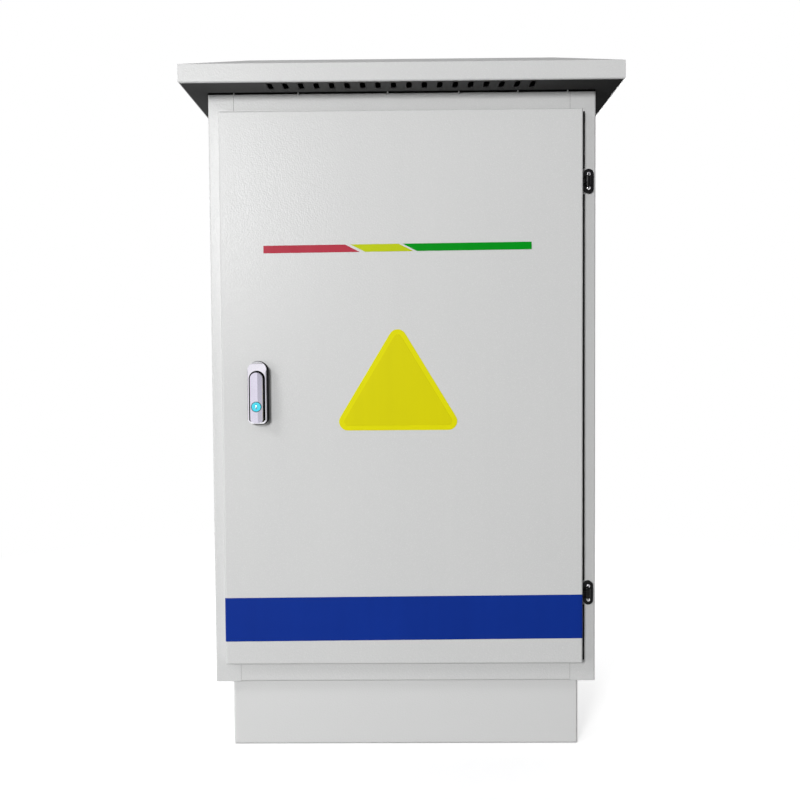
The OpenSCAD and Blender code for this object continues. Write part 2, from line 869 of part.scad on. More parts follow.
module din_rails() {
    color(zinc) for (z = [power_z, field_z]) translate([0, rail_y, z])
        side_on(-plate_x + 20) linear_extrude(2 * plate_x - 40) hat_profile();
}

// Side view of a rail-mounted device: stepped front and a rail seat behind
module device_profile(h, body_depth, front_depth, front_h) {
    grip = 5;
    difference() {
        union() {
            translate([-body_depth, -h / 2]) square([body_depth + grip, h]);
            translate([-front_depth, -front_h / 2]) square([front_depth, front_h]);
        }
        translate([0, -din_w / 2 - 0.3]) square([2 * grip, din_w + 0.6]);
    }
}

function toggle_w(poles) = (poles - 1) * pole_w + 8.2;

module breaker_body(x, poles) {
    w = poles * pole_w - 0.6;
    window = toggle_w(poles) + 0.8;
    difference() {
        translate([0, rail_y, power_z]) side_on(x - w / 2) linear_extrude(w)
            device_profile(breaker_h, 44, breaker_front, 45);
        translate([x - window / 2, rail_y - breaker_front, power_z]) rotate([0, 90, 0])
            cylinder(h = window, r = toggle_r + 0.4);
        for (i = [0:poles - 1], s = [-1, 1])
            face_on(x + (i - (poles - 1) / 2) * pole_w, rail_y - 35, power_z + s * (breaker_h / 2 - 8))
                cylinder(h = 20, d = 6.5);
    }
}

// Toggle: a drum in the breaker's window with its handle tilted up
module breaker_toggle(x, poles) {
    w = toggle_w(poles);
    color(poles > 1 ? "darkgreen" : "royalblue")
        translate([x - w / 2, rail_y - breaker_front, power_z]) {
            rotate([0, 90, 0]) cylinder(h = w, r = toggle_r);
            rotate([-toggle_tilt, 0, 0]) translate([0, -14, -2.2]) cube([w, 14, 4.4]);
        }
}

module main_breaker() {
    color("whitesmoke") breaker_body(main_x, 2);
}

module main_toggle() {
    breaker_toggle(main_x, 2);
}

module branch_breakers() {
    color("whitesmoke") for (x = branch_x) breaker_body(x, 1);
}

module branch_toggle_1() {
    breaker_toggle(branch_x[0], 1);
}

module branch_toggle_2() {
    breaker_toggle(branch_x[1], 1);
}

module branch_toggle_3() {
    breaker_toggle(branch_x[2], 1);
}

module surge_arrester() {
    w = 2 * pole_w;
    color("darkorange") translate([0, rail_y, power_z]) difference() {
        side_on(surge_x - w / 2) linear_extrude(w) device_profile(breaker_h, 44, 60, 45);
        translate([surge_x - 0.5, -61, -30]) cube([1, 20, 60]);
        for (x = [-1, 1]) translate([surge_x + x * pole_w / 2, -59, 14]) cube([8, 4, 4], center = true);
    }
}

module service_socket() {
    w = 46;
    color("whitesmoke") translate([socket_x, rail_y, power_z]) difference() {
        side_on(-w / 2) linear_extrude(w) device_profile(breaker_h, 40, 52, 60);
        rotate([90, 0, 0]) {
            translate([0, 12, 34]) for (s = [-1, 1]) translate([s * 6, 0, 0])
                cube([1.8, 7, 40], center = true);
            translate([0, -12, 34]) for (a = [0, 120, 240]) rotate(a) translate([0, 7, 0])
                cube([1.8, 6.5, 40], center = true);
        }
    }
}

// Row of feed-through terminals for the lamp cables
module terminal_row() {
    pitch = 6.2;
    count = 60;
    w = pitch * count;
    color("lightsteelblue") translate([0, rail_y, field_z]) difference() {
        side_on(-w / 2) linear_extrude(w) {
            device_profile(58, 20, 42, 22);
            translate([-32, -22]) square([20, 44]);
        }
        for (i = [1:count - 1]) translate([-w / 2 + i * pitch - 0.4, -43, -30]) cube([0.8, 20, 60]);
        for (i = [0:count - 1], s = [-1, 1]) translate([-w / 2 + (i + 0.5) * pitch, -20, s * 16.5])
            rotate([90, 0, 0]) cylinder(h = 20, d = 4);
    }
}

// Earth bar on its two feet
module earth_bar() {
    l = 260;
    w = 20;
    t = 5;
    foot_h = 18;
    color("goldenrod") face_on(0, plate_y, earth_z) difference() {
        union() {
            translate([0, 0, foot_h]) linear_extrude(t) square([l, w], center = true);
            for (s = [-1, 1]) translate([s * (l / 2 - 12), 0, 0]) cylinder(h = foot_h + 1, d = 14, $fn = 6);
        }
        for (i = [0:9]) translate([(i - 4.5) * 22, 0, foot_h - 1]) cylinder(h = t + 2, d = 6);
    }
}

// Slotted trunking: a channel whose two walls are combs
module duct(z) {
    wall = 1.5;
    depth = 45;
    pitch = 12.5;
    slots = floor((duct_w - 20) / pitch);
    face_on(0, plate_y, z) {
        linear_extrude(wall) square([duct_w, duct_h], center = true);
        translate([0, 0, depth - wall]) linear_extrude(wall) square([duct_w, duct_h], center = true);
        for (s = [-1, 1]) translate([0, s * (duct_h / 2 - wall / 2), 0]) rotate([90, 0, 0])
            linear_extrude(wall, center = true) difference() {
                translate([-duct_w / 2, 0]) square([duct_w, depth]);
                for (i = [0:slots - 1]) translate([(i - (slots - 1) / 2) * pitch - 2.5, 12])
                    square([5, depth - 12 - wall]);
            }
    }
}

module wiring_ducts() {
    color("lightgray") for (z = duct_z) duct(z);
}

// Card frame with its mounting ears, open at the front
module controller_chassis() {
    t = 2;
    ear = 21;
    color(zinc) translate([0, chassis_y, chassis_lo]) difference() {
        union() {
            translate([-chassis_w / 2, 0, 0]) cube([chassis_w, chassis_d, chassis_h]);
            translate([-chassis_w / 2 - ear, 0, 0]) cube([chassis_w + 2 * ear, 2.5, chassis_h]);
        }
        translate([-chassis_w / 2 + t, -1, t])
            cube([chassis_w - 2 * t, chassis_d + 1 - t, chassis_h - 2 * t]);
        for (s = [-1, 1], z = [14, chassis_h - 14])
            translate([s * (chassis_w / 2 + ear / 2), -1, z]) rotate([-90, 0, 0]) cylinder(h = 5, d = 7);
        for (i = [0:11], j = [0:2]) translate([(i - 5.5) * 32, 50 + j * 50, -1])
            linear_extrude(chassis_h + 2) slot(8, 34);
    }
}

// Middle of a card that starts at one rack unit and ends at another
function card_x(from, to) = (from + to) / 2 * card_pitch - 42 * card_pitch;

// Front panel with its board; the children are cut from the panel, x and y from its middle
module card(from, to) {
    w = (to - from) * card_pitch - 0.5;
    board_x = 4 - w / 2;
    x = card_x(from, to);
    face_on(x, chassis_y, chassis_lo + chassis_h / 2) {
        difference() {
            linear_extrude(panel_t) square([w, chassis_h], center = true);
            children();
            for (s = [-1, 1], m = w > 50 ? [-1, 1] : [0])
                translate([m * (w / 2 - 6), s * (chassis_h / 2 - 6), panel_t - 1.2]) cylinder(h = 2, d = 5.4);
        }
        translate([board_x, -card_h / 2, 10 - chassis_d]) cube([1.6, card_h, chassis_d - 10]);
    }
}

// Pull handle standing on a card's panel
module card_handle(x, y) {
    translate([x, y, panel_t]) difference() {
        translate([-5, -16, 0]) cube([10, 32, 16]);
        translate([-6, 0, 0]) rotate([0, 90, 0]) cylinder(h = 12, r = 10);
    }
}

module power_card() {
    from = 0;
    to = 14;
    color("lightgray") {
        card(from, to) {
            translate([0, -70, -1]) linear_extrude(5) square([28, 20], center = true);
            translate([0, 60, -1]) linear_extrude(5) for (i = [-4:4]) translate([0, i * 7])
                square([40, 3], center = true);
        }
        face_on(card_x(from, to), chassis_y, chassis_lo + chassis_h / 2) {
            card_handle(0, -112 + 6);
            for (x = [-14, 14]) translate([x, -20, panel_t]) {
                cylinder(h = 4, d = 14);
                cylinder(h = 11, d = 11, $fn = 24);
            }
        }
    }
}

module processor_card() {
    from = 14;
    to = 34;
    color("lightgray") {
        card(from, to) {
            translate([0, 84, panel_t - 1]) linear_extrude(5) square([74, 38], center = true);
            for (x = [-22, 0, 22]) translate([x, 8, -1]) linear_extrude(5) square([15, 13], center = true);
            for (i = [0:7]) translate([-31.5 + i * 9, 40, -1]) cylinder(h = 5, d = 3.2);
            translate([0, -30, -1]) linear_extrude(5) round_rect(32, 13, 2);
            translate([0, -62, -1]) linear_extrude(5) round_rect(32, 13, 2);
        }
        face_on(card_x(from, to), chassis_y, chassis_lo + chassis_h / 2) card_handle(0, -106);
    }
}

// Six equal lamp drivers, each with four groups of three indicator holes
module driver_cards() {
    color("lightgray") for (n = [0:5]) {
        from = 34 + 6 * n;
        card(from, from + 6)
            for (g = [0:3], i = [0:2]) translate([0, 96 - g * 34 - i * 9, -1]) cylinder(h = 5, d = 3.2);
        face_on(card_x(from, from + 6), chassis_y, chassis_lo + chassis_h / 2) card_handle(0, -106);
    }
}

// Panel for working the signals by hand, with a sleeve for each button
module manual_panel() {
    color("lightgray") {
        card(70, 84) {
            for (z = button_up) translate([0, z, -1]) cylinder(h = panel_t + 2, d = button_d + 2 * fit_play);
            translate([0, 100, panel_t - 1]) linear_extrude(5) round_rect(50, 22, 2);
        }
        face_on(card_x(70, 84), chassis_y, chassis_lo + chassis_h / 2) for (z = button_up)
            translate([0, z, panel_t]) difference() {
                cylinder(h = 2.5, d = button_d + 6);
                translate([0, 0, -1]) cylinder(h = 5, d = button_d + 2 * fit_play);
            }
    }
}

module panel_button(i, tint) {
    skirt = 3;
    color(tint) face_on(card_x(70, 84), chassis_y, chassis_lo + chassis_h / 2 + button_up[i]) {
        translate([0, 0, -1.5]) cylinder(h = panel_t + 2.5 + 1.5 + button_out, d = button_d);
        translate([0, 0, -skirt - 0.3]) cylinder(h = skirt, d = button_d + 3);
    }
}

module panel_button_1() {
    panel_button(0, "firebrick");
}

module panel_button_2() {
    panel_button(1, "gold");
}

module panel_button_3() {
    panel_button(2, "seagreen");
}

// ---------- Fan ----------

module fan_frame() {
    color(black) translate([0, fan_y, fan_z]) difference() {
        union() {
            difference() {
                linear_extrude(fan_t) round_rect(fan_w, fan_w, 5);
                translate([0, 0, -1]) cylinder(h = fan_t + 2, d = fan_hole);
            }
            cylinder(h = 3, d = fan_hub);
            for (a = [0, 120, 240]) rotate(a + 30) translate([fan_hub / 2 - 2, -3, 0])
                cube([fan_hole / 2 - fan_hub / 2 + 3, 6, 3]);
            cylinder(h = fan_t - 3, d = axle_d);
        }
        for (x = [-1, 1], y = [-1, 1]) translate([x * (fan_w / 2 - 7.5), y * (fan_w / 2 - 7.5), -1])
            cylinder(h = fan_t + 2, d = 4.5);
    }
}

module fan_rotor() {
    blades = 7;
    tip_play = 1.5;
    h = fan_t - 6;
    color(black) translate([0, fan_y, fan_z + 3.6]) difference() {
        union() {
            cylinder(h = h, d = fan_hub);
            intersection() {
                cylinder(h = h, d = fan_hole - 2 * tip_play);
                for (i = [0:blades - 1]) rotate(i * 360 / blades) translate([fan_hub / 2 - 2, 0, h / 2])
                    rotate([38, 0, 0]) translate([0, -h / 2 - 4, -0.9]) cube([fan_hole / 2, h + 8, 1.8]);
            }
        }
        translate([0, 0, -1]) cylinder(h = h + 2, d = axle_d + 2 * fit_play);
    }
}

// Finger guard: flat rings joined by four arms that reach the frame's corners
module fan_guard() {
    wire = 2;
    rings = 5;
    step = fan_hole / 2 / rings;
    arm = 2 * (fan_w / 2 - 7.5) * sqrt(2);
    color(zinc) translate([0, fan_y, fan_z - wire]) linear_extrude(wire) difference() {
        union() {
            for (i = [1:rings]) difference() {
                circle(i * step);
                circle(i * step - wire);
            }
            for (a = [45, 135]) rotate(a) square([arm, 4], center = true);
            for (a = [45:90:315]) rotate(a) translate([arm / 2, 0]) circle(5);
        }
        for (a = [45:90:315]) rotate(a) translate([arm / 2, 0]) circle(2.2);
    }
}

plinth();
left_side_panel();
right_side_panel();
top_rail();
bottom_rail();
back_panel();
floor_plate();
entry_trim();
top_plate();
rain_hood();
door_panel();
door_seal();
door_stiffeners();
document_pocket();
upper_hinge_frame_leaf();
upper_hinge_door_leaf();
upper_hinge_pin();
lower_hinge_frame_leaf();
lower_hinge_door_leaf();
lower_hinge_pin();
hinge_screws();
leaf_screws();
lock_housing();
lock_gasket();
lock_nut();
lock_spindle();
lock_cam();
lock_lever();
lever_pin();
key_cylinder();
key_plug();
upper_lock_rod();
lower_lock_rod();
rod_guides();
mounting_plate();
plate_standoffs();
din_rails();
main_breaker();
main_toggle();
branch_breakers();
branch_toggle_1();
branch_toggle_2();
branch_toggle_3();
surge_arrester();
service_socket();
terminal_row();
earth_bar();
wiring_ducts();
controller_chassis();
power_card();
processor_card();
driver_cards();
manual_panel();
panel_button_1();
panel_button_2();
panel_button_3();
fan_frame();
fan_rotor();
fan_guard();
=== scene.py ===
# Looks of the roadside signal cabinet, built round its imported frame.
import json
import math

import bmesh
import bpy
from mathutils import Matrix, Vector


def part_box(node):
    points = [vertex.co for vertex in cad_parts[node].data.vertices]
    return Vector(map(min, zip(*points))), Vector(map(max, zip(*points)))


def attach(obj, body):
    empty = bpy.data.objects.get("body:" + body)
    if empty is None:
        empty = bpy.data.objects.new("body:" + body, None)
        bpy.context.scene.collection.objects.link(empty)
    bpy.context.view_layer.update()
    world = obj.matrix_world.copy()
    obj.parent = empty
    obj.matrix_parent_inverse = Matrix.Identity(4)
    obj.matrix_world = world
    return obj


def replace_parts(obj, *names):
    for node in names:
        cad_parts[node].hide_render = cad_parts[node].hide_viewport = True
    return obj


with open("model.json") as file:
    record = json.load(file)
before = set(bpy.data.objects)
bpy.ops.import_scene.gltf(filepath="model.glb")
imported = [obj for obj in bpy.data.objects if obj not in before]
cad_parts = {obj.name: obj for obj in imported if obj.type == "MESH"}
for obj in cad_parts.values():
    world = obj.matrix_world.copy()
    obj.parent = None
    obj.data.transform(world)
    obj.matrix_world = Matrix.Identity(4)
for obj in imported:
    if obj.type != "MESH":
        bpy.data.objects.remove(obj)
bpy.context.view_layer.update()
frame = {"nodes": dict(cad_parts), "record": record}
cadNodes = frame["nodes"]
scene = bpy.context.scene
scene.view_settings.view_transform = "Standard"
print("frame loaded: %d nodes" % len(cadNodes))


# Shader building


def addNode(tree, kind, inputs=None, **settings):
    node = tree.nodes.new("ShaderNode" + kind)
    for name, value in settings.items():
        setattr(node, name, value)
    for name, value in (inputs or {}).items():
        node.inputs[name].default_value = value
    return node


def wire(tree, *pairs):
    for output, socket in pairs:
        tree.links.new(output, socket)


def newGroup(name, inputs, outputs):
    tree = bpy.data.node_groups.new(name, "ShaderNodeTree")
    for label, value in inputs.items():
        tree.interface.new_socket(label, in_out="INPUT", socket_type="NodeSocketFloat").default_value = value
    for label, kind in outputs.items():
        tree.interface.new_socket(label, in_out="OUTPUT", socket_type="NodeSocket" + kind)
    return tree, tree.nodes.new("NodeGroupInput"), tree.nodes.new("NodeGroupOutput")


def makeGrain():  # fine relief of a coating or casting, with sparse bright flecks
    tree, start, end = newGroup("surfaceGrain", {"Scale": 400, "Stretch": 1},
                                {"Height": "Float", "Fleck": "Float"})
    place = addNode(tree, "TexCoord")
    axes = addNode(tree, "CombineXYZ", {"X": 1, "Y": 1})
    squeeze = addNode(tree, "VectorMath", operation="MULTIPLY")
    relief = addNode(tree, "TexNoise", {"Detail": 2, "Roughness": 0.45})
    finer = addNode(tree, "Math", {1: 2.3}, operation="MULTIPLY")
    grit = addNode(tree, "TexNoise", {"Detail": 0})
    fleck = addNode(tree, "MapRange", {"From Min": 0.6, "From Max": 0.74})
    wire(tree, (start.outputs["Stretch"], axes.inputs["Z"]), (place.outputs["Object"], squeeze.inputs[0]),
         (axes.outputs[0], squeeze.inputs[1]), (squeeze.outputs[0], relief.inputs["Vector"]),
         (squeeze.outputs[0], grit.inputs["Vector"]), (start.outputs["Scale"], relief.inputs["Scale"]),
         (start.outputs["Scale"], finer.inputs[0]), (finer.outputs[0], grit.inputs["Scale"]),
         (grit.outputs["Fac"], fleck.inputs["Value"]), (relief.outputs["Fac"], end.inputs["Height"]),
         (fleck.outputs["Result"], end.inputs["Fleck"]))
    return tree


def makeTone():  # slow change of tone over a surface, in patches and faint runs
    tree, start, end = newGroup("surfaceTone", {"Scale": 3}, {"Tone": "Float"})
    place = addNode(tree, "TexCoord")
    patches = addNode(tree, "TexNoise", {"Detail": 3, "Roughness": 0.55})
    runs = addNode(tree, "Mapping", {"Scale": (9, 9, 0.6)})
    streaks = addNode(tree, "TexNoise", {"Detail": 2})
    both = addNode(tree, "Mix", {"Factor": 0.35})
    spread = addNode(tree, "MapRange", {"From Min": 0.3, "From Max": 0.7})
    wire(tree, (place.outputs["Object"], patches.inputs["Vector"]),
         (place.outputs["Object"], runs.inputs["Vector"]), (runs.outputs["Vector"], streaks.inputs["Vector"]),
         (start.outputs["Scale"], patches.inputs["Scale"]), (start.outputs["Scale"], streaks.inputs["Scale"]),
         (patches.outputs["Fac"], both.inputs["A"]),
         (streaks.outputs["Fac"], both.inputs["B"]), (both.outputs["Result"], spread.inputs["Value"]),
         (spread.outputs["Result"], end.inputs["Tone"]))
    return tree


def makeEdge():  # rounds the normal at sharp edges and gives a mask of where they are
    tree, start, end = newGroup("softEdge", {"Radius": 0.0006}, {"Normal": "Vector", "Edge": "Float"})
    soft = addNode(tree, "Bevel", samples=6)
    flat = addNode(tree, "NewGeometry")
    facing = addNode(tree, "VectorMath", operation="DOT_PRODUCT")
    mask = addNode(tree, "MapRange", {"From Min": 0.995, "From Max": 0.8})
    wire(tree, (start.outputs["Radius"], soft.inputs["Radius"]), (soft.outputs["Normal"], facing.inputs[0]),
         (flat.outputs["Normal"], facing.inputs[1]), (facing.outputs["Value"], mask.inputs["Value"]),
         (soft.outputs["Normal"], end.inputs["Normal"]), (mask.outputs["Result"], end.inputs["Edge"]))
    return tree


grainGroup, toneGroup, edgeGroup = makeGrain(), makeTone(), makeEdge()


def mixColor(tree, factor, first, second):
    mix = addNode(tree, "Mix", data_type="RGBA")
    for socket, value in ((mix.inputs[0], factor), (mix.inputs[6], first), (mix.inputs[7], second)):
        if isinstance(value, bpy.types.NodeSocket):
            tree.links.new(value, socket)
        elif isinstance(value, (int, float)):
            socket.default_value = value
        else:
            socket.default_value = (*value, 1)
    return mix.outputs[2]


def zoneMask(tree, limits):  # product of ramps over the object's own coordinates or its own normal
    place = addNode(tree, "TexCoord")
    total = None
    for source, axis, start, end in limits:
        axes = addNode(tree, "SeparateXYZ")
        ramp = addNode(tree, "MapRange", {"From Min": start, "From Max": end})
        wire(tree, (place.outputs[source], axes.inputs[0]), (axes.outputs[axis], ramp.inputs["Value"]))
        if total is None:
            total = ramp.outputs["Result"]
        else:
            both = addNode(tree, "Math", operation="MULTIPLY")
            wire(tree, (total, both.inputs[0]), (ramp.outputs["Result"], both.inputs[1]))
            total = both.outputs[0]
    return total


def mixValue(tree, factor, first, second):
    mix = addNode(tree, "Mix", {"B": second})
    tree.links.new(factor, mix.inputs["Factor"])
    if isinstance(first, bpy.types.NodeSocket):
        tree.links.new(first, mix.inputs["A"])
    else:
        mix.inputs["A"].default_value = first
    return mix.outputs["Result"]


def tones(color, shade, base={}, **own):
    return {**base, "color": color, "shade": shade, **own}


plainLook = {"specular": 0.5, "coat": 0, "coatRough": 0.1, "metallic": 0, "roughSpread": 0.06, "grain": 900,
             "stretch": 1, "depth": 0.0001, "strength": 0.5, "patch": 30, "soft": 0.0006, "zones": ()}


def makeFinish(name, ownLook):
    look = {**plainLook, **ownLook}
    material = bpy.data.materials.new(name)
    material.use_nodes = True
    tree = material.node_tree
    shader = tree.nodes["Principled BSDF"]
    shader.inputs["Specular IOR Level"].default_value = look["specular"]
    shader.inputs["Coat Weight"].default_value = look["coat"]
    shader.inputs["Coat Roughness"].default_value = look["coatRough"]
    grain = addNode(tree, "Group", {"Scale": look["grain"], "Stretch": look["stretch"]}, node_tree=grainGroup)
    tone = addNode(tree, "Group", {"Scale": look["patch"]}, node_tree=toneGroup)
    edge = addNode(tree, "Group", {"Radius": look["soft"]}, node_tree=edgeGroup)
    base = mixColor(tree, tone.outputs["Tone"], look["color"], look["shade"])
    if "fleck" in look:
        base = mixColor(tree, grain.outputs["Fleck"], base, look["fleck"])
    if "edge" in look:
        base = mixColor(tree, edge.outputs["Edge"], base, look["edge"])
    dullest = look["rough"] + look["roughSpread"]
    spread = addNode(tree, "MapRange", {"To Min": look["rough"], "To Max": dullest})
    rough, metallic = spread.outputs["Result"], look["metallic"]
    for color, dull, where in look["zones"]:
        mask = zoneMask(tree, where)
        base = mixColor(tree, mask, base, color)
        rough = mixValue(tree, mask, rough, dull)
        if look["metallic"]:
            metallic = mixValue(tree, mask, metallic, 0)
    bump = addNode(tree, "Bump", {"Strength": look["strength"], "Distance": look["depth"]})
    wire(tree, (base, shader.inputs["Base Color"]), (tone.outputs["Tone"], spread.inputs["Value"]),
         (rough, shader.inputs["Roughness"]), (grain.outputs["Height"], bump.inputs["Height"]),
         (edge.outputs["Normal"], bump.inputs["Normal"]), (bump.outputs["Normal"], shader.inputs["Normal"]))
    if isinstance(metallic, bpy.types.NodeSocket):
        tree.links.new(metallic, shader.inputs["Metallic"])
    else:
        shader.inputs["Metallic"].default_value = metallic
    return material


# Finishes, with the places where a part changes its finish

bodyLow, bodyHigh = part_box("left_side_panel")[0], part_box("right_side_panel")[1]
doorLow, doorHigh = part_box("door_panel")
chassisLow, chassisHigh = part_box("controller_chassis")
lockLow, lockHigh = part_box("lock_housing")
plugLow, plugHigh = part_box("key_plug")
hoodLow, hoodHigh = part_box("rain_hood")
leafBoxes = [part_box(name + "_hinge_frame_leaf") for name in ("lower", "upper")]
doorFront, hoodSeat, bodyFace = doorLow.y, hoodLow.z, leafBoxes[0][1].y
spindleTop = lockHigh.z - 0.0145
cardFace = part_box("manual_panel")[0].y + 0.0025
fascia, rimStart, rimEnd = 0.0300, 0.0022, 0.0032

# soffit: the hood's underside inside its rim, painted dark grey in hoodCoat as painted shade under the hood
soffit = [("Object", "Z", hoodSeat + 0.0030, hoodSeat + rimStart),
          ("Object", "Y", hoodLow.y + rimStart, hoodLow.y + rimEnd),
          ("Object", "Y", hoodHigh.y - rimStart, hoodHigh.y - rimEnd),
          ("Object", "X", hoodLow.x + rimStart, hoodLow.x + rimEnd),
          ("Object", "X", hoodHigh.x - rimStart, hoodHigh.x - rimEnd)]
# darkEnd: the soffit's right half, painted darker towards the right as more painted shade
darkEnd = [("Object", "X", 0.0, hoodHigh.x)]
# roof: the hood's sloping top, painted darker and duller in hoodCoat as painted shade
roof = [("Object", "Z", hoodSeat + fascia, hoodSeat + fascia + 0.0012)]
# plinth: the base below the body, painted paler in powderCoat as painted light
plinth = [("Object", "Z", bodyLow.z + 0.0002, bodyLow.z - 0.0004)]
# sides: faces turned away from the front, painted near-black on the lock housing and lever as painted shade
sides = [("Normal", "Y", -0.5, -0.3)]
# recess: the lever's pocket in the lock housing, painted near-black as painted shade
recess = [("Object", "Y", lockLow.y + 0.0009, lockLow.y + 0.0013),
          ("Object", "Z", spindleTop, spindleTop - 0.0005)]
# plugRecess: the keyway behind the plug's face, painted near-black as painted shade
plugRecess = [("Object", "Y", plugLow.y + 0.0004, plugLow.y + 0.0009)]
ejectors = [("Object", "Y", cardFace - 0.0028, cardFace - 0.0032)]
boards = [("Object", "Y", cardFace + 0.0002, cardFace + 0.0004)]

paint = tones((0.665, 0.668, 0.664), (0.640, 0.644, 0.642), fleck=(0.70, 0.703, 0.70), rough=0.20,
              specular=0.12, grain=420, depth=0.0005, strength=0.6, patch=3, soft=0.0012)
chrome = {"metallic": 1, "roughSpread": 0.05, "grain": 160, "depth": 0.00001, "strength": 0.15, "patch": 40,
          "soft": 0.0004}
smallMetal = {"metallic": 1, "grain": 500, "depth": 0.00002, "patch": 60, "soft": 0.0003}
keyPart = {"rough": 0.3, "grain": 600, "depth": 0.00002, "patch": 60, "soft": 0.0003}
moulded = {"rough": 0.4, "depth": 0.00012, "patch": 14}
button = {"rough": 0.2, "grain": 700, "depth": 0.00006, "coat": 0.4}
brushed = tones((0.50, 0.51, 0.53), (0.45, 0.46, 0.48), metallic=0.35, rough=0.5, grain=180, stretch=0.03,
                depth=0.00005, patch=9)
lensLook = {"rough": 0.08, "depth": 0.00001, "patch": 60, "coat": 0.7, "coatRough": 0.04}
printed = {"rough": 0.38, "specular": 0.05, "grain": 420, "depth": 0.0004, "strength": 0.4, "patch": 8}

